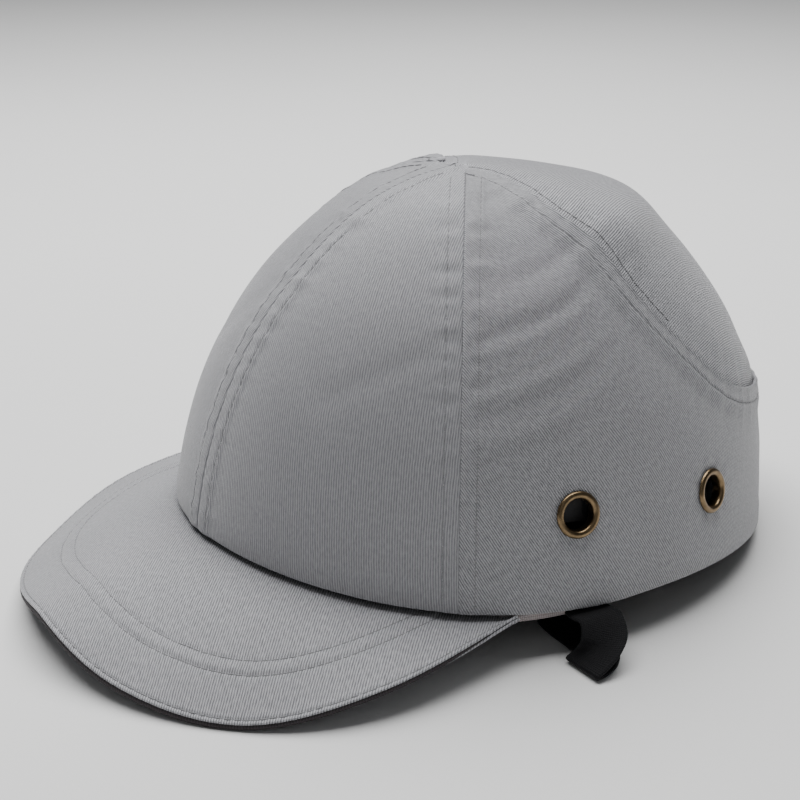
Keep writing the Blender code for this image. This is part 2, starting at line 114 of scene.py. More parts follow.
# Linings and pads: depths below the crown's surface, and heights above the hem.
BAND_FOOT = 2.2 * MM
BAND_TOP = 20 * MM
BINDING_ROUND = 0.62 * MM
BINDING_HEIGHT = 5.0 * MM
BINDING_DROP = 3.8 * MM
BINDING_HIDDEN = 1.5 * MM
SEAM_TAPE_WIDTH = 12 * MM
PAD_DEPTH = 6.85 * MM

# Brim.
BRIM_END_ANGLE = math.radians(68.4)
BRIM_LENGTH = 121.65 * MM
BRIM_ROUNDNESS = 2.294
BRIM_FLARE = 19.9 * MM
BRIM_EDGE_HEIGHTS = np.array([14.7, 6.6, 2.7, 10.0, 16.2]) * MM
BRIM_TUCK = 3.0 * MM
BRIM_BELOW_HEM = 1.6 * MM
BRIM_DROP_CURVE = 1.7
BRIM_ROLL = 0.42 * MM
BRIM_LINES = (1.15 * MM, 15.2 * MM, 20.2 * MM)
BRIM_STITCH_DIP = 0.25 * MM
BRIM_CHANNEL = 0.18 * MM
BRIM_TURNED_IN = 4 * MM
BRIM_DEPTH = 3.3 * MM
UNDER_COVER_RECESS = 1.6 * MM
SHADE_TAPE_THICKNESS = 0.3 * MM

# Degrees round the crown, and height above the hem.
EYELETS = {"front": (80.2, 30.2 * MM), "rear": (111.9, 25.6 * MM)}

# ---------------------------------------------------------------- crown surface

def blend_round(values, angle):
    """Values at the front, side and rear, blended for each angle."""
    cosine = np.cos(angle)
    ends = np.where(cosine > 0, values[0], values[2])
    return ends * cosine ** 2 + values[1] * np.sin(angle) ** 2


def crown(angle, rise):
    """Points of the crown's outer surface, for arrays of angle and rise."""
    angle, rise = np.broadcast_arrays(np.asarray(angle, float), np.asarray(rise, float))
    cosine = np.cos(angle)
    hem_x = HALF_WIDTH * np.sin(angle) * (1 - EGG * cosine)
    hem_y = -np.where(cosine > 0, FRONT_LENGTH, REAR_LENGTH) * cosine
    hem_z = blend_round(HEM_HEIGHT, angle)
    height = np.sin(np.clip(rise, 0, 1) * math.pi / 2)
    base = np.maximum(1 - height ** (2 / blend_round(SHOULDER, angle)), 0)
    spread = base ** (blend_round(DRAW_IN, angle) / 2)
    y = CENTRE_Y - TOP_FORWARD + (hem_y + TOP_FORWARD) * spread
    return np.stack([hem_x * spread, y, hem_z + (HEIGHT - hem_z) * height], -1)


def unit(vectors):
    """Vectors scaled to length one."""
    return vectors / np.maximum(np.linalg.norm(vectors, axis=-1, keepdims=True), 1e-12)


def slopes(angle, rise):
    """How the crown's point moves with angle and with rise."""
    step = 0.002
    rise = np.clip(rise, step, 0.985)
    along = (crown(angle + step, rise) - crown(angle - step, rise)) / (2 * step)
    up = (crown(angle, rise + step) - crown(angle, rise - step)) / (2 * step)
    return along, up


def crown_normal(angle, rise):
    """Outward directions, turning to straight up at the very top."""
    along, up = slopes(angle, rise)
    normal = unit(np.cross(along, up))
    top = np.clip((np.asarray(rise) - 0.95) / 0.05, 0, 1)[..., None]
    return unit(normal * (1 - top) + np.array([0, 0, 1]) * top)


def girth(angle, rise):
    """Metres round the crown for one radian."""
    return np.maximum(np.linalg.norm(slopes(angle, rise)[0], axis=-1), 2 * MM)


def rise_at(angle, height):
    """The rise of the point this far above the hem."""
    return np.arcsin(np.clip(height / (HEIGHT - blend_round(HEM_HEIGHT, angle)), 0, 1)) * 2 / math.pi


def laid(angle, rise, relief):
    """Points on the crown, lifted by a relief."""
    return crown(angle, rise) + crown_normal(angle, rise) * np.asarray(relief)[..., None]


def smooth_curve(values, t):
    """A smooth curve through evenly spaced values, at each t from 0 to 1."""
    values = np.asarray(values, float)
    last = len(values) - 1
    index = np.minimum((np.asarray(t) * last).astype(int), last - 1)
    part = np.asarray(t) * last - index
    if values.ndim > 1:
        part = part[..., None]
    a, b = values[np.maximum(index - 1, 0)], values[index]
    c, d = values[index + 1], values[np.minimum(index + 2, last)]
    second = 2 * a - 5 * b + 4 * c - d
    third = 3 * b - a - 3 * c + d
    return b + ((c - a) * part + second * part ** 2 + third * part ** 3) / 2


def rear_seam(t):
    """Angle and rise along the rear seam, from the side seam (0) to the middle of the rear (1)."""
    angle = smooth_curve([math.radians(station[0]) for station in REAR_SEAM], t)
    return angle, smooth_curve([station[1] for station in REAR_SEAM], t)


def ease(value, low, high):
    """A smooth step from 0 at low to 1 at high."""
    part = np.clip((value - low) / (high - low), 0, 1)
    return part * part * (3 - 2 * part)


def fade(value, low, high):
    """A smooth step from 1 at low to 0 at high."""
    return 1 - ease(value, low, high)


def ripple(place, pitch, seed):
    """An uneven wave of about one pitch, from -1 to 1."""
    turn = place / pitch * math.tau
    slow = np.sin(turn * 0.63 + 2.1 * seed)
    fast = np.sin(turn * 1.71 + 4.7 * seed)
    return (np.sin(turn + seed) + 0.6 * slow + 0.5 * fast) / 2.1


def groove(distance, width):
    """A narrow bump round a line, 1 high."""
    return np.exp(-(distance / width) ** 2)


def folded(angle):
    """The angle from the front, 0 to 180 degrees, on either side."""
    return math.pi - np.abs(math.pi - np.mod(np.abs(angle), math.tau))


def on_left(points):
    """Points, with those on the right mirrored to the left."""
    return np.concatenate([np.abs(points[..., :1]), points[..., 1:]], -1)


def nearest_on(line, points):
    """Each point's distance to a line of points, and the number of the nearest of them."""
    flat = points.reshape(-1, 3)
    distance = np.empty(len(flat))
    nearest = np.empty(len(flat), int)
    for start in range(0, len(flat), 4000):
        some = slice(start, start + 4000)
        gap = np.linalg.norm(flat[some, None] - line[None], axis=-1)
        nearest[some] = gap.argmin(1)
        distance[some] = gap.min(1)
    return distance.reshape(points.shape[:-1]), nearest.reshape(points.shape[:-1])


def arc_lengths(points, axis):
    """Running length along one axis of a grid of points."""
    steps = np.linalg.norm(np.diff(points, axis=axis), axis=-1)
    zero = np.zeros_like(np.take(steps, [0], axis=axis))
    return np.concatenate([zero, np.cumsum(steps, axis=axis)], axis=axis)


# ---------------------------------------------------------------- relief of the cover

REAR_LINE_T = np.linspace(0, 1, 500)
REAR_LINE = crown(*rear_seam(REAR_LINE_T))
REAR_LINE_LENGTH = arc_lengths(REAR_LINE, 0)


def beside_rear_seam(points):
    """Each point's distance to the rear seam, and its share and length along the seam."""
    distance, nearest = nearest_on(REAR_LINE, on_left(points))
    return distance, REAR_LINE_T[nearest], REAR_LINE_LENGTH[nearest]


def at_back(angle):
    """1 round the back of the head, where the elastic gathers the cloth, and 0 before it."""
    return ease(folded(angle), math.radians(140), math.radians(166))


def seam_relief(distance, along, seed, rise):
    """Cloth beside a pressed-open, topstitched seam: the roll into it, its ridge and its puckers."""
    into = np.clip(1 - distance / SEAM_ROLL, 0, 1)
    roll = -SEAM_ROLL * (1 - np.sqrt(1 - into ** 2)) * fade(rise, 0.945, 0.965)
    ridge = SEAM_RIDGE * fade(distance, 5.2 * MM, 7.5 * MM)
    dip = -STITCH_DIP * groove(distance - STITCH_INSET, 0.45 * MM)
    near = fade(distance, 5.0 * MM, 12.0 * MM) * ease(distance, 0.3 * MM, 2.4 * MM)
    return roll + ridge + dip + PUCKER * ripple(along, PUCKER_PITCH, seed) * near


def soft_folds(points):
    """Faint slack in the cloth, a few centimetres across, alike on both sides."""
    x, y, z = np.abs(points[..., 0]), points[..., 1], points[..., 2]
    return SLACK * ripple(x * 0.8 + y * 0.5 + z * 0.9, 47 * MM, 4.0) * ripple(y - z * 0.7, 61 * MM, 5.0)


def crown_set(angle, height):
    """Where the cloth, pulled over the shell, fills out over its shoulders and draws in between."""
    behind = ease(folded(angle), math.radians(92), math.radians(125))
    front = 0.6 * MM * groove(height - 72 * MM, 20 * MM) - 0.9 * MM * groove(height - 117 * MM, 13 * MM)
    rear = 3.0 * MM * groove(height - 118 * MM, 8 * MM) - 1.1 * MM * groove(height - 92 * MM, 15 * MM)
    return front + behind * (rear - front) - 0.35 * MM * ease(height, 128 * MM, 133 * MM)


def front_folds(points):
    """Two shallow creases that fall from the seams to the middle of each front panel."""
    x, z = np.abs(points[..., 0]), points[..., 2]
    valley = z - 78 * MM - 0.9 * np.abs(x - 34 * MM)
    reach = ease(z, 62 * MM, 80 * MM) * fade(z, 104 * MM, 118 * MM)
    return -FRONT_CREASE * groove(valley, 4.5 * MM) * reach


def drag_folds(points, angle, metres):
    """Slack folds that start at the side seam and rise towards the rear, above the shell's edge."""
    back = (angle - SIDE_SEAM) * metres
    slope = points[..., 2] - 0.30 * back
    wave = ripple(slope + 3 * MM * np.sin(back / (19 * MM)), DRAG_PITCH, 1.9)
    reach = ease(back, 1 * MM, 7 * MM) * fade(back, 34 * MM, 62 * MM)
    return DRAG_FOLD * wave * reach * ease(slope, 44 * MM, 66 * MM) * fade(slope, 100 * MM, 114 * MM)


def eyelet_dip(points):
    """The cloth drawn in and puckered round the eyelets."""
    relief = 0.0
    for degrees, height in EYELETS.values():
        centre = crown(math.radians(degrees), rise_at(math.radians(degrees), height))
        away = np.linalg.norm(on_left(points) - centre, axis=-1)
        turn = np.arctan2(points[..., 2] - centre[2], points[..., 1] - centre[1])
        pucker = np.sin(9 * turn) * groove(away - 9.5 * MM, 2.4 * MM)
        relief = relief - EYELET_DIP * fade(away, 5 * MM, 12 * MM) + EYELET_PUCKER * pucker
    return relief


def front_relief(angle, rise):
    """Relief of the front panels."""
    points = crown(angle, rise)
    metres = girth(angle, rise)
    height = points[..., 2]
    centre = np.abs(angle) * metres
    side = (SIDE_SEAM - np.abs(angle)) * metres
    relief = seam_relief(centre, height, 0.7, rise) + seam_relief(side, height, 2.3, rise)
    relief += HEM_RIDGE * fade(height - blend_round(HEM_HEIGHT, angle), *HEM_BAND)
    return relief + soft_folds(points) + crown_set(angle, height) + front_folds(points)


def side_relief(angle, rise):
    """Relief of the side panels: the side seam, the proud rear fold, slack and gathers."""
    points = crown(angle, rise)
    metres = girth(angle, rise)
    height = points[..., 2]
    above = height - blend_round(HEM_HEIGHT, angle)
    relief = seam_relief((np.abs(angle) - SIDE_SEAM) * metres, height, 3.9, rise)
    distance, share, along = beside_rear_seam(points)
    proud = REAR_FOLD * (0.4 + 0.6 * ease(share, 0.12, 0.3))
    relief += proud * (fade(distance, 5 * MM, 12 * MM) + 0.3 * groove(distance, 0.9 * MM))
    relief -= 0.28 * MM * groove(distance - STITCH_INSET, 0.5 * MM)
    pucker = ripple(along, 8.5 * MM, 1.3) * fade(distance, 6 * MM, 20 * MM)
    relief += 0.22 * MM * pucker * ease(share, 0.05, 0.2)
    gathered = ease(above, 0, 14 * MM) * (1 - 0.45 * ease(above, 24 * MM, 40 * MM))
    gather = 0.4 * MM + REAR_GATHER * np.sin(np.abs(angle) * metres / REAR_GATHER_PITCH * math.tau)
    relief += at_back(angle) * (REAR_BULGE * ease(above, 12 * MM, 30 * MM) + gathered * gather)
    relief += HEM_RIDGE * fade(above, *HEM_BAND) + eyelet_dip(points)
    relief += drag_folds(points, np.abs(angle), metres) * ease(distance, 2 * MM, 9 * MM)
    return relief + soft_folds(points) + crown_set(angle, height)


def top_relief(angle, rise):
    """Relief of the rear top panel, sunk below the side panels' fold."""
    points = crown(angle, rise)
    distance, share, along = beside_rear_seam(points)
    sink = REAR_SINK * (0.2 + 0.8 * ease(share, 0.12, 0.3))
    relief = -sink * (fade(distance, 4 * MM, 17 * MM) + 0.5 * fade(distance, 0.8 * MM, 3 * MM))
    low = fade(points[..., 2], 85 * MM, 110 * MM)
    relief += at_back(angle) * low * REAR_BULGE_ABOVE_SEAM * fade(distance, 2 * MM, 20 * MM)
    relief += 0.2 * MM * ripple(along, 9 * MM, 5.1) * fade(distance, 5 * MM, 22 * MM)
    return relief + soft_folds(points) + crown_set(angle, points[..., 2])


# ---------------------------------------------------------------- meshes

def shade_smooth(mesh, degrees=50):
    """Smooth shading with sharp edges over an angle."""
    mesh.shade_smooth()
    mesh.set_sharp_from_angle(angle=math.radians(degrees))


def add_piece(name, mesh, material):
    """Links a mesh as a piece."""
    if not mesh.materials:
        mesh.materials.append(material)
    piece = bpy.data.objects.new(name, mesh)
    bpy.context.scene.collection.objects.link(piece)
    return piece


def add_uv(mesh, uv):
    """Maps a mesh from one place on the flat cloth for each vertex."""
    corners = np.empty(len(mesh.loops), int)
    mesh.loops.foreach_get("vertex_index", corners)
    layer = mesh.uv_layers.new(name="cloth")
    layer.data.foreach_set("uv", uv.reshape(-1, 2)[corners].ravel().astype(np.float32))


def strip_uv(points):
    """A map of a grid of points in millimetres: length along its columns, and along its rows."""
    return np.stack([arc_lengths(points, 1), arc_lengths(points, 0)], -1) / MM


def grid_piece(name, points, uv, material, closed=False):
    """A surface from a grid of points (rows, columns, 3), with a UV map in millimetres."""
    rows, columns = points.shape[:2]
    index = np.arange(rows * columns).reshape(rows, columns)
    right = np.roll(index, -1, axis=1) if closed else index[:, 1:]
    left = index if closed else index[:, :-1]
    faces = np.stack([left[:-1], right[:-1], right[1:], left[1:]], -1).reshape(-1, 4)
    mesh = bpy.data.meshes.new(name)
    mesh.from_pydata(points.reshape(-1, 3).tolist(), [], faces.tolist())
    add_uv(mesh, uv)
    shade_smooth(mesh)
    return add_piece(name, mesh, material)


def thicken(piece, thickness):
    """Gives a surface its thickness, inwards."""
    modifier = piece.modifiers.new("thickness", "SOLIDIFY")
    modifier.thickness = thickness
    modifier.use_even_offset = False


def weld(piece, distance=WELD):
    """Joins points that lie together."""
    piece.modifiers.new("weld", "WELD").merge_threshold = distance


def apply_modifiers(piece):
    """Replaces a piece's mesh with what its modifiers make of it."""
    graph = bpy.context.evaluated_depsgraph_get()
    mesh = bpy.data.meshes.new_from_object(piece.evaluated_get(graph))
    piece.modifiers.clear()
    piece.data = mesh


def fill_holes(piece, lowest, closed=False):
    """Fills the holes whose rims lie above a height, and makes a closed form's faces point out."""
    shape = bmesh.new()
    shape.from_mesh(piece.data)
    rim = [edge for edge in shape.edges if edge.is_boundary and min(v.co.z for v in edge.verts) > lowest]
    if rim:
        bmesh.ops.holes_fill(shape, edges=rim, sides=0)
    if closed:
        bmesh.ops.recalc_face_normals(shape, faces=shape.faces)
    shape.to_mesh(piece.data)
    shape.free()
    shade_smooth(piece.data)


def place_on(piece, body, slot, *nodes):
    """Rides a piece on a body, and hides the nodes that it stands for; the slot is not used."""
    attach(piece, body)
    if nodes:
        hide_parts(*nodes)


def mirror_points(points):
    """The grid on the wearer's right, with its columns turned round so that it still faces out."""
    return (points * np.array([-1, 1, 1]))[:, ::-1]


def dense_ends(count, edge, edge_share):
    """Places from 0 to 1, closer together near both ends."""
    ends = np.linspace(0, edge_share, edge, endpoint=False)
    middle = np.linspace(edge_share, 1 - edge_share, count)
    return np.concatenate([ends, middle, 1 - ends[::-1]])


def between(pair, share):
    """The value at a share from -1 to 1 between two values."""
    return (pair[0] + pair[1]) / 2 + (pair[1] - pair[0]) / 2 * share


TABLE_ANGLES = np.linspace(0, math.pi, 181)
TABLE_RISES = np.linspace(0, 0.999, 200)
TABLE_POINTS = crown(TABLE_ANGLES[:, None], TABLE_RISES[None, :])
LENGTH_ROUND = arc_lengths(TABLE_POINTS, 0)
LENGTH_UP = arc_lengths(TABLE_POINTS, 1)


def from_table(table, angle, rise):
    """Reads a running length over the crown, at any angle and rise."""
    last_angle, last_rise = len(TABLE_ANGLES) - 1, len(TABLE_RISES) - 1
    a = np.clip(folded(angle) / math.pi * last_angle, 0, last_angle - 0.001)
    r = np.clip(rise / TABLE_RISES[-1] * last_rise, 0, last_rise - 0.001)
    i, j = a.astype(int), r.astype(int)
    p, q = a - i, r - j
    low = table[i, j] * (1 - p) + table[i + 1, j] * p
    high = table[i, j + 1] * (1 - p) + table[i + 1, j + 1] * p
    return low * (1 - q) + high * q


def gore_uv(angle, rise, middle):
    """Where points of the crown lie, in millimetres, on a gore laid flat along its middle."""
    across = from_table(LENGTH_ROUND, angle, rise) - from_table(LENGTH_ROUND, middle + 0 * rise, rise)
    return np.stack([across, from_table(LENGTH_UP, angle, rise)], -1) / MM


def extend_uv(uv, points, below):
    """Carries a map on over the rows added below and above it and the column at each side."""
    steps = np.linalg.norm(np.diff(points, axis=0), axis=-1) / MM
    full = np.zeros(points.shape[:2] + (2,))
    full[below:below + len(uv), 1:-1] = uv
    for row in range(below - 1, -1, -1):
        full[row] = full[row + 1]
        full[row, :, 1] -= steps[row]
    for row in range(below + len(uv), len(points)):
        full[row] = full[row - 1]
        full[row, :, 1] += steps[row - 1]
    full[:, 0] = full[:, 1] - [WALL_DEPTH / MM, 0]
    full[:, -1] = full[:, -2] + [WALL_DEPTH / MM, 0]
    return full


def declare_cloth(points, uv, closed=False):
    """Works out the size and area of a cut panel's flat pattern, and keeps none of them."""
    width, length = np.ptp(uv[..., 0]) * MM, np.ptp(uv[..., 1]) * MM
    if closed:
        points = np.concatenate([points, points[:, :1]], axis=1)
    first = points[1:, 1:] - points[:-1, :-1]
    second = points[1:, :-1] - points[:-1, 1:]
    area = float(np.linalg.norm(np.cross(first, second), axis=-1).sum() / 2)
    area = min(area, width * length)


def roll_rows(edge, out, normal, radius, steps=8):
    """Rows that roll from an edge, out and round, to behind it."""
    rows = []
    for turn in np.linspace(0, math.pi, steps)[1:]:
        rows.append(edge + out * radius * math.sin(turn) - normal * radius * (1 - math.cos(turn)))
    return rows


def hem_rows(angle, relief):
    """The rows of the hem, from the top of its allowance inside, round its roll, to the outside."""
    rows = []
    for height in np.linspace(HEM_ALLOWANCE, 2 * MM, 5):
        inside = relief - 2 * HEM_ROLL + 0.2 * MM * ease(height, 8 * MM, HEM_ALLOWANCE)
        rows.append(laid(angle, rise_at(angle, height), inside))
    base_rise = rise_at(angle, HEM_ROLL)
    outside = laid(angle, base_rise, relief)
    down = np.array([0, 0, -1.0])
    return rows + roll_rows(outside, down, crown_normal(angle, base_rise), HEM_ROLL, 9)[::-1]


def rest_on_floor(points, lowest=0.05 * MM):
    """Keeps cloth from passing through what the cap stands on."""
    points[..., 2] = np.maximum(points[..., 2], lowest)
    return points


def side_walls(points, depth):
    """Adds a column at each side that turns the cloth's edge inwards."""
    normal = unit(np.cross(np.gradient(points, axis=1), np.gradient(points, axis=0)))
    first = points[:, :1] - normal[:, :1] * depth
    last = points[:, -1:] - normal[:, -1:] * depth
    return np.concatenate([first, points, last], axis=1)


# ---------------------------------------------------------------- materials

class Nodes:
    """Short calls for building a material's node tree."""

    def __init__(self, name, **values):
        """A new material, with values of its shader named with underscores for spaces."""
        self.material = bpy.data.materials.new(name)
        self.material.use_nodes = True
        self.tree = self.material.node_tree
        self.shader = self.tree.nodes["Principled BSDF"]
        for key, value in values.items():
            self.shader.inputs[key.replace("_", " ")].default_value = value

    def put(self, source, target):
        """Links an output, or sets a number or a colour."""
        if isinstance(source, (int, float, tuple)):
            target.default_value = source
        else:
            self.tree.links.new(source, target)

    def new(self, kind, *values, **settings):
        """A node with its settings and its first inputs."""
        node = self.tree.nodes.new(kind)
        for key, value in settings.items():
            setattr(node, key, value)
        for value, socket in zip(values, node.inputs):
            self.put(value, socket)
        return node

    def math(self, operation, *values):
        """The result of a sum."""
        return self.new("ShaderNodeMath", *values, operation=operation).outputs[0]

    def scale(self, value, gain, offset=0.0):
        """A value times a gain, plus an offset."""
        return self.math("MULTIPLY_ADD", value, gain, offset)

    def swing(self, value, gain, offset):
        """A value's swing round a half, times a gain, plus an offset."""
        return self.scale(self.math("SUBTRACT", value, 0.5), gain, offset)

    def noise(self, scale, detail=3.0, place=None):
        """Noise from 0 to 1, by default in the piece's own metres."""
        node = self.new("ShaderNodeTexNoise")
        node.inputs["Scale"].default_value = scale
        node.inputs["Detail"].default_value = detail
        self.put(place or self.new("ShaderNodeTexCoord").outputs["Object"], node.inputs["Vector"])
        return node.outputs["Fac"]

    def wave(self, place, pitch):
        """A wave from 0 to 1 with a pitch in the same units as the place."""
        return self.scale(self.math("SINE", self.scale(place, math.tau / pitch)), 0.5, 0.5)

    def cloth_place(self):
        """Place across and along the flat cloth, in millimetres."""
        uv = self.new("ShaderNodeUVMap", uv_map="cloth").outputs["UV"]
        return self.new("ShaderNodeSeparateXYZ", uv).outputs[:2]

    def mix(self, tone, dark, light):
        """A colour between dark and light."""
        node = self.new("ShaderNodeMix", tone, data_type="RGBA")
        self.put(dark, node.inputs[6])
        self.put(light, node.inputs[7])
        return node.outputs[2]

    def colour(self, tone, dark, light):
        """Colours the surface between dark and light."""
        self.put(self.mix(tone, dark, light), self.shader.inputs["Base Color"])

    def roughness(self, value, gain, offset):
        """Makes the roughness follow a value."""
        self.put(self.scale(value, gain, offset), self.shader.inputs["Roughness"])

    def bump(self, height, distance, strength=1.0):
        """Sends a height to the shader's normal."""
        node = self.new("ShaderNodeBump")
        node.inputs["Distance"].default_value = distance
        node.inputs["Strength"].default_value = strength
        self.put(height, node.inputs["Height"])
        self.put(node.outputs["Normal"], self.shader.inputs["Normal"])


def rgb(red, green, blue):
    """An opaque colour."""
    return (red, green, blue, 1.0)


def twill(name, light, dark, lean):
    """Cotton twill: ridges that lean from upright, each yarn a little different, with a soft nap."""
    n = Nodes(name, Sheen_Weight=0.5, Sheen_Roughness=0.35, Specular_IOR_Level=0.6)
    u, v = n.cloth_place()
    cosine, sine = math.cos(math.radians(lean)), math.sin(math.radians(lean))
    across = n.scale(u, cosine, n.scale(v, sine))
    along = n.scale(v, cosine, n.scale(u, -sine))
    ridge = n.wave(n.scale(n.noise(150, 2), 0.5, across), TWILL_PITCH)
    streak_place = [n.scale(across, 1.1 / TWILL_PITCH), n.scale(along, 0.42 / TWILL_PITCH)]
    streak = n.noise(1.0, 2, n.new("ShaderNodeCombineXYZ", *streak_place).outputs[0])
    yarn = n.wave(n.scale(across, 0.6, along), TWILL_PITCH * 0.72)
    weave = n.scale(yarn, 0.12, n.swing(streak, 0.9, n.scale(ridge, 0.8)))
    weave = n.swing(n.noise(2600, 2), 0.3, weave)
    n.colour(n.swing(n.noise(22, 4), 0.22, weave), dark, light)
    n.roughness(weave, -0.2, 0.72)
    n.bump(weave, 0.2 * MM, 0.9)
    return n.material


def thread_material():
    """Sewing thread the colour of the cloth, with painted shade, near black, where each stitch dives into its
    needle hole.
    """
    n = Nodes("sewing_thread", Roughness=0.6, Sheen_Weight=0.1)
    end = n.math("POWER", n.math("ABSOLUTE", n.cloth_place()[1]), 7.0)
    tone = n.mix(n.noise(900, 2), rgb(0.15, 0.15, 0.155), rgb(0.30, 0.30, 0.31))
    # Painted shade: each stitch's ends turn near black, for the shade in the needle holes.
    n.colour(end, tone, rgb(0.012, 0.012, 0.013))
    n.bump(n.noise(4000, 1), 0.05 * MM)
    return n.material


def tape_material(name, light, dark, rib, wobble):
    """Woven tape or webbing: ribs across it, and rows of yarn along it."""
    n = Nodes(name, Sheen_Weight=0.05, Sheen_Roughness=0.4, Specular_IOR_Level=0.2)
    u, v = n.cloth_place()
    ribs = n.wave(n.scale(n.noise(wobble, 2), 0.4, v), rib)
    weave = n.scale(n.wave(u, rib * 1.3), 0.35, n.scale(ribs, 0.5))
    weave = n.scale(n.noise(2200, 2), 0.25, weave)
    n.colour(weave, dark, light)
    n.roughness(weave, -0.15, 0.85)
    n.bump(weave, 0.2 * MM)
    return n.material


def brass_material():
    """Antique brass: dark patina, rubbed brighter in patches."""
    n = Nodes("antique_brass", Metallic=1.0)
    patina = n.noise(420, 4)
    fine = n.noise(1900, 3)
    worn = n.math("SMOOTH_MIN", n.scale(fine, 0.35, patina), 1.0, 0.1)
    n.colour(worn, rgb(0.03, 0.022, 0.014), rgb(0.27, 0.19, 0.105))
    n.roughness(worn, -0.22, 0.46)
    n.bump(fine, 0.03 * MM, 0.5)
    return n.material


def plastic_material(name, colour, grain=1500):
    """Moulded plastic with a fine spark-eroded texture."""
    n = Nodes(name, Specular_IOR_Level=0.45)
    fine = n.noise(grain, 3)
    n.colour(n.noise(30, 3), rgb(*colour), rgb(*[min(1.0, part * 1.35 + 0.004) for part in colour]))
    n.roughness(fine, 0.2, 0.38)
    n.bump(fine, 0.06 * MM, 0.6)
    return n.material


def foam_material():
    """Closed-cell foam with fine pores."""
    n = Nodes("pad_foam", Roughness=0.95, Specular_IOR_Level=0.2)
    cells = n.new("ShaderNodeTexVoronoi", n.new("ShaderNodeTexCoord").outputs["Object"])
    cells.inputs["Scale"].default_value = 1400
    pores = n.scale(n.noise(60, 3), 0.4, cells.outputs["Distance"])
    n.colour(pores, rgb(0.022, 0.022, 0.025), rgb(0.085, 0.085, 0.09))
    n.bump(cells.outputs["Distance"], 0.2 * MM)
    return n.material


def towelling_material():
    """Brushed sweatband cloth."""
    n = Nodes("sweatband_cloth", Roughness=1.0, Sheen_Weight=0.3, Specular_IOR_Level=0.1)
    loops = n.noise(1300, 3)
    tone = n.scale(n.noise(70, 3), 0.4, n.scale(loops, 0.7))
    n.colour(tone, rgb(0.02, 0.02, 0.023), rgb(0.10, 0.10, 0.11))
    n.bump(loops, 0.5 * MM)
    return n.material


def floor_material():
    """A plain pale cloth floor."""
    n = Nodes("pale_floor", Roughness=0.95, Specular_IOR_Level=0.1)
    n.colour(n.noise(3, 3), rgb(0.74, 0.74, 0.735), rgb(0.80, 0.80, 0.795))
    n.bump(n.noise(700, 2), 0.2 * MM, 0.3)
    return n.material


LIGHT_GREY = rgb(0.47, 0.47, 0.493)
DARK_GREY = rgb(0.135, 0.135, 0.146)
COTTON_FRONT = twill("cotton_twill_front", rgb(0.41, 0.41, 0.43), rgb(0.19, 0.19, 0.204), 6)
COTTON_SIDE = twill("cotton_twill_side", LIGHT_GREY, DARK_GREY, 28)
COTTON_TOP = twill("cotton_twill_top", LIGHT_GREY, DARK_GREY, 30)
COTTON_BRIM = twill("cotton_twill_brim", LIGHT_GREY, DARK_GREY, 45)
THREAD = thread_material()
TAPE = tape_material("binding_tape", rgb(0.06, 0.06, 0.062), rgb(0.015, 0.015, 0.016), 0.8, 300)
# Near black with a little red: painted shade for the gap between the brim's covers at its edge.
EDGE_SHADE_TAPE = tape_material("brim_edge_shade_tape", rgb(0.050, 0.042, 0.046), rgb(0.014, 0.012, 0.013), 0.9, 300)
BINDING = tape_material("sweatband_binding", rgb(0.46, 0.41, 0.41), rgb(0.22, 0.19, 0.19), 0.7, 300)
PATCH = tape_material("hook_and_loop", rgb(0.05, 0.05, 0.052), rgb(0.008, 0.008, 0.009), 1.2, 900)
WEBBING = tape_material("strap_webbing", rgb(0.007, 0.007, 0.0085), rgb(0.0025, 0.0025, 0.003), 0.55, 500)
BRASS = brass_material()
SHELL_PLASTIC = plastic_material("shell_plastic", (0.008, 0.008, 0.0095))
SLIDER_PLASTIC = plastic_material("slider_plastic", (0.01, 0.01, 0.011), 900)
BOARD_PLASTIC = plastic_material("board_plastic", (0.62, 0.62, 0.6), 500)
FOAM = foam_material()
TOWELLING = towelling_material()


# ---------------------------------------------------------------- cover panels

def front_panel_top(share):
    """The rise of the front panels' top edge, from the middle (0) to the side seam (1)."""
    return FRONT_PANEL_TOP + (REAR_SEAM[0][1] - FRONT_PANEL_TOP) * share


def front_panel_grid():
    """Angle and rise of the left front panel."""
    u = dense_ends(26, 16, 0.11)
    base = rise_at(u * SIDE_SEAM, HEM_ROLL)
    rise = base + (front_panel_top(u) - base) * np.linspace(0, 1, 112)[:, None]
    margin = SEAM_MARGIN / girth(u * SIDE_SEAM, rise)
    return margin + (SIDE_SEAM - 2 * margin) * u, rise


def make_panels(name, grid, relief_of, fold_radius, middle, material):
    """A cloth panel on each side, from its hem, folded up inside, to its top edge, folded under."""
    angle, rise = grid
    relief = relief_of(angle, rise)
    surface = laid(angle, rise, relief)
    hem = hem_rows(angle[0], relief[0])
    points = np.concatenate([np.stack(hem), surface, np.stack(fold_rows(surface, fold_radius))])
    points = rest_on_floor(side_walls(points, WALL_DEPTH), LOWEST_CLOTH)
    uv = extend_uv(gore_uv(angle, rise, middle), points, len(hem))
    mirrored = uv[:, ::-1] * np.array([-1, 1])
    for side, cloth, flat in (("left", points, uv), ("right", mirror_points(points), mirrored)):
        piece = grid_piece(f"{name}_{side}_cloth", cloth, flat, material)
        thicken(piece, CLOTH)
        place_on(piece, "cap", "cotton", f"{name}_{side}")
        declare_cloth(cloth, flat)


def side_panel_grid():
    """Angle and rise of the left side panel: a fan from the hem to the rear seam."""
    u = np.concatenate([np.linspace(0, 0.055, 14, endpoint=False), np.linspace(0.055, 1, 150)])
    v = 1 - np.linspace(1, 0, 120)[:, None] ** 1.25
    seam_angle, seam_rise = rear_seam(u)
    hem_angle = SIDE_SEAM + (math.pi - SIDE_SEAM) * u
    base = rise_at(hem_angle, HEM_ROLL)
    rise = base + (seam_rise - base) * v
    margin = SEAM_MARGIN / girth(hem_angle, rise)
    return hem_angle + (seam_angle - hem_angle) * v + margin * (1 - 2 * u), rise


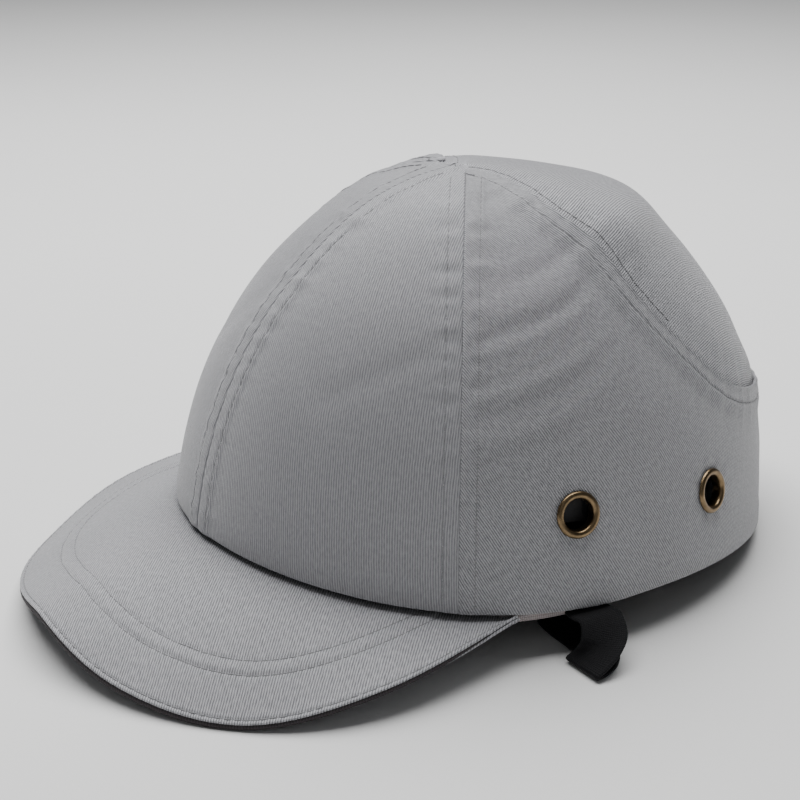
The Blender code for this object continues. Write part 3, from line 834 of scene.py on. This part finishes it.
def fold_rows(points, radius):
    """Rows that roll from the panel's top edge down and back under it."""
    up = unit(points[-1] - points[-4])
    normal = unit(np.cross(np.gradient(points[-1], axis=0), up))
    rows = roll_rows(points[-1], up, normal, radius)
    return rows + [rows[-1] - up * FOLD_DEPTH]


def top_panel_edge(half):
    """Angle and rise of the rear top panel's sewn edge, from the front (0) to the rear (1)."""
    front = half / TOP_FRONT_SHARE
    angle, rise = rear_seam(np.clip((half - TOP_FRONT_SHARE) / (1 - TOP_FRONT_SHARE), 0, 1))
    return np.where(front < 1, SIDE_SEAM * front, angle), np.where(front < 1, front_panel_top(front), rise)


def make_top_panel():
    """The rear top panel: rings from its sewn edge, under the fold, in to the top."""
    turn = np.linspace(0, 1, 281)[:-1]
    half = np.where(turn <= 0.5, turn, 1 - turn) * 2
    angle, edge = top_panel_edge(half)
    low = edge - 0.012 - 0.027 * ease(half, TOP_FRONT_SHARE, TOP_FRONT_SHARE + 0.1)
    rise = low + (TOP_PANEL_END - low) * np.linspace(0, 1, 90)[:, None] ** 0.9
    angle = np.where(turn <= 0.5, angle, math.tau - angle) + 0 * rise
    points = laid(angle, rise, top_relief(angle, rise))
    down = (from_table(LENGTH_UP, angle, 1 + 0 * rise) - from_table(LENGTH_UP, angle, rise)) / MM
    uv = np.stack([down * np.sin(angle), -down * np.cos(angle)], -1)
    shrink = np.array([0.8, 0.55, 0.3, 0.1])[:, None, None]
    top = points[-1].mean(0)
    points = np.concatenate([points, top + (points[-1] - top) * shrink])
    uv = np.concatenate([uv, uv[-1] * shrink])
    piece = grid_piece("rear_top_panel_cloth", points, uv, COTTON_TOP, closed=True)
    fill_holes(piece, HEIGHT - 2 * MM)
    thicken(piece, CLOTH)
    place_on(piece, "cap", "cotton", "rear_top_panel")
    declare_cloth(points, uv, closed=True)


# ---------------------------------------------------------------- stitches

# Rings of one stitch: place along it, radius and height over the cloth in millimetres.
STITCH_RINGS = [(-1.0, 0.13, -0.10), (-0.80, 0.17, 0.0), (-0.3, 0.18, 0.08), (0.3, 0.18, 0.08),
                (0.80, 0.17, 0.0), (1.0, 0.13, -0.10)]
STITCH_SIDES = 6
STITCH_REACH = 0.47


def stitches(name, points, normals):
    """A row of stitches along a line that lies on the cloth."""
    lengths = arc_lengths(points, 0)
    count = max(int(lengths[-1] / STITCH_PITCH), 1)
    place, radius, lift = np.array(STITCH_RINGS).T

    def along(values, reach):
        return np.stack([np.interp(reach, lengths, column) for column in values.T], -1)

    reach = (np.arange(count)[:, None] + 0.5 + place * STITCH_REACH) * STITCH_PITCH
    normal = unit(along(normals, reach))
    ahead = unit(along(points, reach + 0.3 * MM) - along(points, reach - 0.3 * MM))
    turns = np.linspace(0, math.tau, STITCH_SIDES, endpoint=False)[:, None]
    centre = along(points, reach) + normal * lift[:, None] * MM
    spoke = np.cross(ahead, normal)[:, :, None] * np.cos(turns) + normal[:, :, None] * np.sin(turns)
    vertices = centre[:, :, None] + spoke * radius[:, None, None] * MM
    index = np.arange(vertices[..., 0].size).reshape(vertices.shape[:3])
    after = np.roll(index, -1, axis=2)
    walls = np.stack([index[:, :-1], after[:, :-1], after[:, 1:], index[:, 1:]], -1).reshape(-1, 4)
    mesh = bpy.data.meshes.new(name)
    faces = walls.tolist() + index[:, 0, ::-1].tolist() + index[:, -1].tolist()
    mesh.from_pydata(vertices.reshape(-1, 3).tolist(), [], faces)
    add_uv(mesh, np.stack(np.broadcast_arrays(0.5, place[:, None] + 0 * index), -1))
    shade_smooth(mesh)
    place_on(add_piece(name, mesh, THREAD), "cap", "cotton")


def stitch_on_crown(name, angle, rise, relief_of):
    """Stitches on a panel, along angle and rise, on both sides of the cap."""
    points = laid(angle, rise, relief_of(angle, rise))
    normals = crown_normal(angle, rise)
    for side, flip in (("left", np.array([1, 1, 1])), ("right", np.array([-1, 1, 1]))):
        stitches(f"{name}_{side}", points * flip, normals * flip)


def offset_line(angle, rise, distance):
    """A line beside a line on the crown, at a distance to its left."""
    tangent = unit(np.gradient(crown(angle, rise), axis=0))
    shift = np.cross(crown_normal(angle, rise), tangent) * distance
    moved = (np.linalg.pinv(np.stack(slopes(angle, rise), -1)) @ shift[..., None])[..., 0]
    return angle + moved[..., 0], rise + moved[..., 1]


def make_seam_stitches():
    """Topstitching beside every seam of the crown."""
    rise = np.linspace(0.015, 0.93, 300)
    centre = STITCH_INSET / girth(0.05, rise)
    stitch_on_crown("centre_seam_stitches", centre, rise, front_relief)
    rise = np.linspace(0.015, 0.925, 300)
    inset = STITCH_INSET / girth(SIDE_SEAM, rise)
    stitch_on_crown("side_seam_front_stitches", SIDE_SEAM - inset, rise, front_relief)
    stitch_on_crown("side_seam_rear_stitches", SIDE_SEAM + inset, rise, side_relief)
    below = offset_line(*rear_seam(np.linspace(0.05, 0.995, 400)), -STITCH_INSET)
    stitch_on_crown("rear_fold_stitches", *below, side_relief)
    above = offset_line(*rear_seam(np.linspace(0.06, 0.60, 260)), STITCH_INSET)
    stitch_on_crown("rear_panel_stitches", *above, top_relief)


# ---------------------------------------------------------------- brim

def brim_edge(angle):
    """The upper outer edge of the brim, from -90 to 90 degrees."""
    share = np.abs(angle) / (math.pi / 2)
    end = crown(BRIM_END_ANGLE, 0.0)
    power = 2 / BRIM_ROUNDNESS
    side = np.sign(angle)
    x = side * end[0] * np.abs(np.sin(angle)) ** power + side * BRIM_FLARE * np.sin(math.pi * share) * share
    y = end[1] - BRIM_LENGTH * np.abs(np.cos(angle)) ** power
    return np.stack([x, y, smooth_curve(BRIM_EDGE_HEIGHTS, np.clip(share, 0, 1))], -1)


def brim_surface(angle, out):
    """The brim's upper surface, from under the hem (0) to the edge (1)."""
    hem_angle = angle * BRIM_END_ANGLE / (math.pi / 2)
    inner = crown(hem_angle, 0 * hem_angle) - crown_normal(hem_angle, 0 * hem_angle + 0.002) * BRIM_TUCK
    outer = brim_edge(angle)
    part = np.asarray(out)[..., None]
    points = inner + (outer - inner) * part
    start = inner[..., 2] - BRIM_BELOW_HEM
    points[..., 2] = start + (outer[..., 2] - start) * np.asarray(out) ** BRIM_DROP_CURVE
    return points


def brim_grid(columns, rows):
    """Angle and distance grids of the brim; rows are closer together near the edge."""
    angle = np.linspace(-math.pi / 2, math.pi / 2, columns)[None, :]
    out = np.linspace(0, 1, rows)[:, None]
    out = 1 - (1 - out) ** 1.5
    return np.broadcast_arrays(angle, out)


def brim_normals(points):
    """Upward directions of a brim grid, whose rows run outwards and columns from right to left."""
    return unit(np.cross(np.gradient(points, axis=0), np.gradient(points, axis=1)))


def brim_edge_distance(points):
    """Distance of each brim point to the brim's outer edge."""
    return nearest_on(brim_edge(np.linspace(-math.pi / 2, math.pi / 2, 700)), points)[0]


def brim_relief(distance, points):
    """Relief of the brim's top cover: its rolled and puckered edge, stitched channels and slack."""
    along = np.arctan2(points[..., 0], -points[..., 1] - 20 * MM) * 100 * MM
    relief = 0.15 * MM * fade(distance, 0.8 * MM, 3.5 * MM)
    relief += 0.12 * MM * ripple(along, 3.1 * MM, 0.3) * fade(distance, 1.2 * MM, 3.2 * MM)
    for line in BRIM_LINES:
        relief -= BRIM_STITCH_DIP * groove(distance - line, 0.55 * MM)
    channel = ease(distance, BRIM_LINES[1], BRIM_LINES[1] + 1.5 * MM)
    relief += BRIM_CHANNEL * channel * fade(distance, 16.6 * MM, BRIM_LINES[2])
    sway = ripple(points[..., 0] + 0.6 * points[..., 1], 33 * MM, 0.4)
    return relief + 0.12 * MM * sway * ease(distance, 20 * MM, 30 * MM)


def brim_cover(place, sign, depth, relief_scale, recess):
    """One cloth cover of the brim, with its edge rolled towards the other cover."""
    angle, out = brim_grid(240, 90)
    base = brim_surface(angle, out)
    normal = brim_normals(base)
    distance = brim_edge_distance(base)
    front = np.cos(angle) ** 8
    ends = ease(np.abs(angle) / (math.pi / 2), 0.9, 1.0)
    pinch = (0.3 + 0.6 * (1 - front) + 0.8 * ends) * MM * fade(distance, 0.8 * MM, 5 * MM)
    deep = np.maximum(depth - pinch, 0)
    points = base + normal * (sign * relief_scale * brim_relief(distance, base) - deep)[..., None]
    outward = unit(points[-1] - points[-3])
    points = points - outward * (recess * front * fade(1 - out, 0, 0.04))[..., None]
    rows = roll_rows(points[-1], outward, sign * normal[-1], BRIM_ROLL)
    rows.append(rows[-1] - outward * BRIM_TURNED_IN)
    points = rest_on_floor(np.concatenate([points, np.stack(rows)])[::-1])
    uv = points[..., :2] / MM
    piece = grid_piece(f"brim_{place}_cloth", points, uv, COTTON_BRIM)
    if sign < 0:
        piece.data.flip_normals()
    thicken(piece, CLOTH)
    declare_cloth(points, uv)
    place_on(piece, "cap", "cotton", f"brim_{place}_cover")


def make_brim():
    """The brim: two covers, the dark tape of painted shade between them, and three rows of stitches."""
    brim_cover("top", 1, 0.0, 1.0, 0.0)
    brim_cover("under", -1, BRIM_DEPTH, 0.6, UNDER_COVER_RECESS)
    make_brim_shade_tape()
    for number, inset in enumerate(BRIM_LINES):
        stitches(f"brim_stitches_{number + 1}", *brim_line(inset))


def brim_line(inset):
    """A line on the brim and its normals, in from the edge, as far as it stays outside the hem."""
    angle = np.linspace(-math.pi / 2, math.pi / 2, 900)
    out = np.linspace(0, 1, 160)
    base = brim_surface(*np.broadcast_arrays(angle, out[:, None]))
    distance = brim_edge_distance(base)
    normal = brim_normals(base)
    nearest = np.abs(distance - inset).argmin(0), np.arange(len(angle))
    keep = (np.abs(distance[nearest] - inset) <= 0.6 * MM) & (out[nearest[0]] > 0.035)
    points = (base + normal * brim_relief(distance, base)[..., None])[nearest][keep]
    padded = np.pad(points, ((6, 6), (0, 0)), mode="edge")
    smooth = np.stack([np.convolve(column, np.ones(13) / 13, "valid") for column in padded.T], -1)
    return smooth, normal[nearest][keep]


# The dark tape's section, which stands for the shade in the gap between the brim's covers: reach beyond the
# brim's edge and drop below it, in millimetres.
SHADE_TAPE_SECTION = [(-4.0, 0.9), (-0.4, 0.7), (0.1, 0.6), (0.28, 0.95), (0.34, 1.6), (0.3, 2.3), (0.05, 2.9),
                (-4.0, 3.0)]
SHADE_TAPE_DROP_AT_SIDES = 0.74


def make_brim_shade_tape():
    """The dark tape between the covers at the brim's edge: painted shade, standing for the gap there that
    lies in shade.
    """
    angle = np.linspace(-math.pi / 2, math.pi / 2, 240)
    base = brim_surface(*np.broadcast_arrays(angle, np.linspace(0.97, 1, 4)[:, None]))
    outward = unit(base[-1] - base[-2])
    level = unit(outward * np.array([1, 1, 0]))
    depth = between((SHADE_TAPE_DROP_AT_SIDES, 1), 2 * np.cos(angle) ** 8 - 1)[:, None] * np.array([0, 0, MM])
    rows = []
    for reach, drop in SHADE_TAPE_SECTION:
        rows.append(base[-1] + (outward if reach < 0 else level) * reach * MM - drop * depth)
    points = rest_on_floor(np.stack(rows), 0.3 * MM)
    piece = grid_piece("brim_edge_shade_tape", points, strip_uv(points)[..., ::-1], EDGE_SHADE_TAPE)
    piece.data.flip_normals()
    thicken(piece, SHADE_TAPE_THICKNESS)
    place_on(piece, "cap", "cotton_under")


# ---------------------------------------------------------------- eyelets

def turned(name, profile, steps, material):
    """A ring turned from a closed profile of radius and height pairs in millimetres."""
    turns = np.linspace(0, math.tau, steps, endpoint=False)
    radius, height = np.array(profile + profile[:1]).T[..., None] * MM
    points = np.stack([radius * np.cos(turns), radius * np.sin(turns), height + 0 * turns], -1)
    uv = np.stack(np.broadcast_arrays(turns * 10, 0 * points[..., 0]), -1)
    piece = grid_piece(name, points, uv, material, closed=True)
    weld(piece)
    return piece


# Sections as radius and height in millimetres: the eyelet's domed flange, whose lip turns down into
# its barrel, and the washer inside.
EYELET_SECTION = [(7.0, 0.3), (6.2, 0.35), (5.4, 0.1), (5.2, -0.6), (5.25, -2.5), (5.0, -2.6), (4.92, -2.3),
                  (4.95, -0.3), (5.05, 0.35), (5.3, 0.78), (5.7, 1.05), (6.2, 1.15), (6.7, 1.08), (7.1, 0.85),
                  (7.36, 0.5), (7.4, 0.15)]
WASHER_SECTION = [(5.5, -1.55), (5.4, -1.75), (5.6, -1.98), (6.9, -2.0), (7.15, -1.8), (7.0, -1.55)]
HOLE_RADIUS = 5.6 * MM


def make_eyelets():
    """Four eyelets with their washers."""
    for place, (degrees, height) in EYELETS.items():
        angle = math.radians(degrees)
        rise = float(rise_at(angle, height))
        for side, flip in (("left", [1, 1, 1]), ("right", [-1, 1, 1])):
            turn = Vector(crown_normal(angle, rise) * flip).to_track_quat("Z", "Y")
            matrix = Matrix.Translation(Vector(crown(angle, rise) * flip)) @ turn.to_matrix().to_4x4()
            ring = turned(f"eyelet_{place}_{side}_ring", EYELET_SECTION, 64, BRASS)
            washer = turned(f"eyelet_{place}_{side}_washer", WASHER_SECTION, 48, BRASS)
            for piece, node in ((ring, f"eyelet_{place}_{side}"), (washer, f"eyelet_washer_{place}_{side}")):
                piece.matrix_world = matrix
                place_on(piece, "cap", "brass", node)
            cut_hole(bpy.data.objects[f"side_panel_{side}_cloth"], matrix)


def cut_hole(panel, matrix):
    """Cuts an eyelet's hole through a side panel."""
    apply_modifiers(panel)
    rod = bmesh.new()
    bmesh.ops.create_cone(rod, cap_ends=True, segments=32, depth=12 * MM,
                          radius1=HOLE_RADIUS, radius2=HOLE_RADIUS)
    mesh = bpy.data.meshes.new("hole")
    rod.to_mesh(mesh)
    rod.free()
    cutter = bpy.data.objects.new("hole", mesh)
    bpy.context.scene.collection.objects.link(cutter)
    cutter.matrix_world = matrix
    bpy.context.view_layer.update()
    boolean = panel.modifiers.new("hole", "BOOLEAN")
    boolean.operation = "DIFFERENCE"
    boolean.solver = "EXACT"
    boolean.object = cutter
    apply_modifiers(panel)
    shade_smooth(panel.data)
    bpy.data.objects.remove(cutter)


# ---------------------------------------------------------------- linings inside the cover

def crown_strip(name, angle, rise, depth, thickness, material, node, body="cap"):
    """A strip of tape inside the crown, at a depth and with a thickness."""
    points = laid(angle, rise, -depth)
    piece = grid_piece(name, points, strip_uv(points), material)
    thicken(piece, thickness)
    place_on(piece, body, "tape", node)


def make_sweatband():
    """The sweatband: a soft band, folded round its lower edge."""
    angle = np.linspace(0, math.tau, 241)[:-1]
    height = np.linspace(BAND_FOOT, BAND_TOP, 16)[:, None]
    belly = np.sin((height - BAND_FOOT) / (BAND_TOP - BAND_FOOT) * math.pi) ** 0.6
    quilt = 0.12 * MM * ripple(angle * 95 * MM, 11 * MM, 0.8)
    outer = laid(angle, rise_at(angle, height), -(2.1 * MM + 0.35 * MM * (1 - belly)))
    inner = laid(angle, rise_at(angle, height), -(2.7 * MM + (0.7 * MM + quilt) * belly))
    points = np.concatenate([outer, inner[::-1], outer[:1]])
    piece = grid_piece("sweatband_cloth", points, strip_uv(points), TOWELLING, closed=True)
    weld(piece)
    place_on(piece, "cap", "towelling", "sweatband")


def make_binding():
    """The pale tape that binds the sweatband's lower edge; it shows under the hem behind the brim."""
    angle = np.linspace(0, math.tau, 361)[:-1]
    side = np.degrees(folded(angle))
    shows = ease(side, 64.0, 67.0) * (1 - ease(side, 66.0, 108.0) ** 0.8)
    bottom = BINDING_HIDDEN - (BINDING_HIDDEN + BINDING_DROP) * shows
    middle = laid(angle, 0.0, -2.75 * MM)
    level = unit(crown_normal(angle, 0.01) * np.array([1, 1, 0]))
    turns = np.linspace(0, math.pi, 7)
    reach = np.concatenate([[1], np.cos(turns), [-1]])[:, None, None] * BINDING_ROUND
    lift = np.concatenate([[BINDING_HEIGHT], BINDING_ROUND * (1 - np.sin(turns)), [BINDING_HEIGHT]])
    points = middle + level * reach + (bottom + lift[:, None])[..., None] * np.array([0, 0, 1])
    points = rest_on_floor(points, 0.4 * MM)
    uv = strip_uv(points)[..., ::-1]
    piece = grid_piece("sweatband_binding", points[::-1], uv[::-1], BINDING, closed=True)
    thicken(piece, 0.35 * MM)
    place_on(piece, "cap", "towelling")


def make_tapes():
    """Binding tapes over the seams, and the rear elastic."""
    rise = np.linspace(0.03, 0.88, 80)[:, None]
    across = np.linspace(-1, 1, 13)
    depth = 1.5 * MM + 0.12 * MM * np.abs(across) ** 4
    seams = {"centre_seam_tape": 0.0, "side_seam_tape_left": SIDE_SEAM, "side_seam_tape_right": -SIDE_SEAM}
    for name, seam in seams.items():
        angle = seam + across * SEAM_TAPE_WIDTH / 2 / girth(seam, rise)
        crown_strip(name + "_cloth", angle, rise, depth, 0.5 * MM, TAPE, name)
    angle = np.linspace(math.radians(140), math.radians(220), 160)
    rise = rise_at(angle, np.linspace(2, 12, 10)[:, None] * MM)
    gathers = 1.5 * MM + 0.15 * MM * np.sin(angle * 900)
    crown_strip("rear_elastic_cloth", angle, rise, gathers, 0.5 * MM, TAPE, "rear_elastic")


def make_patches():
    """The hook-and-loop patches between the cover and the shell, with rounded corners."""
    for side in ("left", "right"):
        for name, body, angles, rises, depth, thickness in (
                ("loop_patch", "cap", (78, 96), (0.58, 0.68), 1.45 * MM, 0.9 * MM),
                ("hook_patch", "insert", (79, 95), (0.585, 0.675), 2.85 * MM, 0.8 * MM)):
            angle, rise, _ = rounded(angles, rises, 20, 20, 0.2, 4)
            place = angle if side == "left" else -angle[:, ::-1]
            node = f"{name}_{side}"
            crown_strip(node + "_cloth", place, rise, depth, thickness, PATCH, node, body)


def rounded(angles, rises, columns, rows, corner, power):
    """Angle and rise over a rectangle with its corners drawn in, and how near each is to its edge."""
    x = np.linspace(-1, 1, columns)
    y = np.linspace(-1, 1, rows)[:, None]
    angle = np.radians(between(angles, x * np.sqrt(1 - corner * y ** power)))
    rise = between(rises, y * np.sqrt(1 - corner * x ** power))
    return angle, rise, np.maximum(np.abs(x), np.abs(y))


# ---------------------------------------------------------------- insert

def pad_piece(name, angle, rise, edge):
    """A foam pad inside the shell: a crowned form whose edges pull in."""
    puff = 1 - edge ** 6
    outer = laid(angle, rise, -(PAD_DEPTH + 0.5 * MM * (1 - puff)))
    inner = laid(angle, rise, -(PAD_DEPTH + 0.75 * MM + 2.9 * MM * puff ** 0.5 + 0.5 * MM * puff))
    index = np.arange(angle.size).reshape(angle.shape)
    front = np.stack([index[:-1, :-1], index[:-1, 1:], index[1:, 1:], index[1:, :-1]], -1).reshape(-1, 4)
    loop = np.concatenate([index[0, :-1], index[:-1, -1], index[-1, :0:-1], index[:0:-1, 0]])
    after = np.roll(loop, -1)
    wall = np.stack([loop + angle.size, after + angle.size, after, loop], -1)
    faces = np.concatenate([front, front[:, ::-1] + angle.size, wall])
    mesh = bpy.data.meshes.new(name)
    mesh.from_pydata(np.stack([outer, inner]).reshape(-1, 3).tolist(), [], faces.tolist())
    add_uv(mesh, np.stack([strip_uv(outer)] * 2))
    mesh.validate()
    shade_smooth(mesh, 60)
    piece = add_piece(name + "_foam", mesh, FOAM)
    place_on(piece, "insert", "foam", name)
    return piece


def make_pads():
    """The foam pads: four with rounded corners, and a ring under the top of the shell."""
    for name, angles, rises, columns, rows in (
            ("brow_pad", (-50, 50), (0.20, 0.36), 60, 20),
            ("rear_pad", (150, 210), (0.17, 0.33), 44, 20),
            ("side_pad_left", (90, 114), (0.19, 0.40), 24, 24),
            ("side_pad_right", (-114, -90), (0.19, 0.40), 24, 24)):
        pad_piece(name, *rounded(angles, rises, columns, rows, 0.12, 6))
    angle, share = np.meshgrid(np.linspace(0, math.tau, 97), np.linspace(-1, 1, 26))
    weld(pad_piece("crown_pad", angle, between((0.66, 0.985), share), np.abs(share)), 0.05 * MM)


def finish_nodes():
    """Gives the CAD's own plastic nodes their materials."""
    for name, material in (
            ("impact_shell", SHELL_PLASTIC), ("brim_board", BOARD_PLASTIC),
            ("strap_anchor_left", SLIDER_PLASTIC), ("strap_anchor_right", SLIDER_PLASTIC),
            ("strap_slider", SLIDER_PLASTIC)):
        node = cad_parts[name]
        if not node.material_slots:
            node.data.materials.append(material)
        for material_slot in node.material_slots:
            material_slot.material = material


# ---------------------------------------------------------------- chin strap

WEBBING_WIDTH = 15.0 * MM
WEBBING_THICKNESS = 1.3 * MM
TAIL_STATIONS = [
    ((71.0, -14.7, 52.0), (0.12, 1, 0)), ((74.6, -14.7, 38.5), (0.12, 1, 0)),
    ((78.6, -14.7, 26.0), (0.12, 1, 0)), ((81.4, -14.7, 18.5), (0.12, 1, 0)),
    ((83.8, -14.7, 14.4), (0.1, 1, 0)), ((88.5, -14.7, 12.9), (0.03, 1, 0)),
    ((94.3, -15.0, 13.5), (0.08, 1, 0)), ((98.9, -17.0, 9.8), (0.38, 0.92, 0.1)),
    ((100.0, -20.3, 6.0), (0.8, 0.55, 0.15)), ((99.8, -23.5, 3.4), (0.97, 0.2, 0.04)),
    ((99.5, -25.5, 1.9), (1, 0.05, 0)), ((98.6, -22.9, 0.8), (1, 0.05, 0)),
    ((96.5, -18.2, 0.8), (0.9, 0.43, 0)), ((92.0, -14.5, 0.8), (0.4, 0.9, 0)),
    ((86.0, -13.3, 0.8), (0.05, 1, 0)), ((78.1, -13.2, 0.8), (0, 1, 0))]
STRAP_STATIONS = [
    ((77.7, -13.2, 0.8), (0, 1, 0)), ((72.0, -12.6, 1.2), (0.1, 1, 0.04)),
    ((66.2, -10.6, 3.4), (0.28, 0.9, 0.33)), ((60.8, -9.0, 6.2), (0.25, 0.62, 0.74)),
    ((56.0, -11.5, 8.1), (0.05, 0.2, 0.98)), ((53.6, -19.0, 8.6), (0, 0, 1)),
    ((53.4, -33.0, 8.7), (0, 0, 1)), ((52.6, -50.0, 8.9), (0, 0, 1)),
    ((49.5, -67.0, 9.1), (0, 0, 1)), ((42.5, -83.0, 9.3), (0, 0, 1)),
    ((33.5, -93.0, 9.6), (0, 0, 1)), ((24.0, -97.0, 9.7), (0, 0, 1)),
    ((12.0, -97.5, 9.7), (0, 0, 1)), ((0.0, -97.5, 9.7), (0, 0, 1))]


def webbing(name, stations, body, steps=14):
    """Flat webbing along its stations, with rounded edges."""
    centres = np.array([centre for centre, _ in stations]) * MM + np.array([0, CENTRE_Y, 0])
    across = unit(np.array([direction for _, direction in stations], float))
    t = np.linspace(0, 1, (len(stations) - 1) * steps + 1)
    centre = smooth_curve(centres, t)
    direction = unit(smooth_curve(across, t))
    normal = unit(np.cross(direction, unit(np.gradient(centre, axis=0))))
    x, y = webbing_section()
    points = centre + direction * x[:, None, None] + normal * y[:, None, None]
    uv = np.stack(np.broadcast_arrays(x[:, None], arc_lengths(centre, 0)), -1) / MM
    piece = grid_piece(name + "_webbing", points, uv, WEBBING)
    weld(piece)
    apply_modifiers(piece)
    fill_holes(piece, -1.0, closed=True)
    place_on(piece, body, "webbing", name)


def webbing_section():
    """Width and height round the webbing's closed section, with half-round edges."""
    half, thick = WEBBING_WIDTH / 2, WEBBING_THICKNESS / 2
    turns = np.linspace(-math.pi / 2, math.pi / 2, 7)
    flat = np.linspace(1, -1, 15)[1:-1] * (half - thick)
    edge = half - thick + thick * np.cos(turns)
    x = np.concatenate([edge, flat, -edge, -flat, edge[:1]])
    rise = thick * np.sin(turns)
    return x, np.concatenate([rise, thick + 0 * flat, -rise, -thick + 0 * flat, rise[:1]])


def mirror_stations(stations):
    """Stations on the wearer's right."""
    return [((-x, y, z), (-a, b, c)) for (x, y, z), (a, b, c) in stations]


def make_webbing():
    """The strap's tails and the strap between them."""
    webbing("strap_tail_left", TAIL_STATIONS, "insert")
    webbing("strap_tail_right", mirror_stations(TAIL_STATIONS), "insert")
    webbing("chin_strap", STRAP_STATIONS + mirror_stations(STRAP_STATIONS)[-2::-1], "chin_strap")


# ---------------------------------------------------------------- stage

# Each light's place, the side of its square and its power in watts.
LIGHTS = {"key": ((-0.33, 0.11, 1.0), 1.2, 28.5), "fill": ((1.3, -0.7, 1.0), 1.4, 1.2)}
LIGHTS_AIM = Vector((0, 0, 60 * MM))
SKY_COLOUR = rgb(0.95, 0.97, 1.0)
SKY_STRENGTH = 0.11
FLOOR_REACH = 6.0


def make_stage():
    """The floor, the soft lights and the camera."""
    mesh = bpy.data.meshes.new("floor")
    corners = [(x * FLOOR_REACH, y * FLOOR_REACH, 0) for x, y in ((-1, -1), (1, -1), (1, 1), (-1, 1))]
    mesh.from_pydata(corners, [], [(0, 1, 2, 3)])
    floor = add_piece("floor", mesh, floor_material())
    world = bpy.data.worlds.new("studio")
    bpy.context.scene.world = world
    world.use_nodes = True
    background = world.node_tree.nodes["Background"]
    background.inputs["Color"].default_value = SKY_COLOUR
    background.inputs["Strength"].default_value = SKY_STRENGTH
    for name, (place, size, power) in LIGHTS.items():
        add_light(name, place, size, power)
    add_camera()


def add_light(name, place, size, power):
    """A square softbox aimed at the cap."""
    light = bpy.data.lights.new(name, "AREA")
    light.size = size
    light.energy = power
    lamp = bpy.data.objects.new(name, light)
    bpy.context.scene.collection.objects.link(lamp)
    lamp.location = place
    lamp.rotation_euler = (LIGHTS_AIM - Vector(place)).to_track_quat("-Z", "Y").to_euler()


CAMERA_AZIMUTH = math.radians(57.72)
CAMERA_ELEVATION = math.radians(22.41)
CAMERA_DISTANCE = 0.5759
CAMERA_LENS = 72.73
CAMERA_TARGET = (-21.35 * MM, -14.97 * MM + CENTRE_Y, 45.79 * MM)


def add_camera():
    """The camera, at the wearer's left of the brim and a little above it."""
    data = bpy.data.cameras.new("camera")
    data.lens = CAMERA_LENS
    data.sensor_width = 36
    camera = bpy.data.objects.new("camera", data)
    bpy.context.scene.collection.objects.link(camera)
    level = math.cos(CAMERA_ELEVATION)
    back = Vector((math.sin(CAMERA_AZIMUTH) * level, -math.cos(CAMERA_AZIMUTH) * level,
                   math.sin(CAMERA_ELEVATION)))
    camera.location = Vector(CAMERA_TARGET) + back * CAMERA_DISTANCE
    camera.rotation_euler = back.to_track_quat("Z", "Y").to_euler()
    bpy.context.scene.camera = camera


make_stage()
make_panels("front_panel", front_panel_grid(), front_relief, FRONT_FOLD_RADIUS, SIDE_SEAM / 2, COTTON_FRONT)
make_panels("side_panel", side_panel_grid(), side_relief, REAR_FOLD_RADIUS, SIDE_PANEL_MIDDLE, COTTON_SIDE)
make_top_panel()
make_seam_stitches()
make_brim()
make_eyelets()
make_sweatband()
make_binding()
make_tapes()
make_patches()
make_pads()
finish_nodes()
make_webbing()
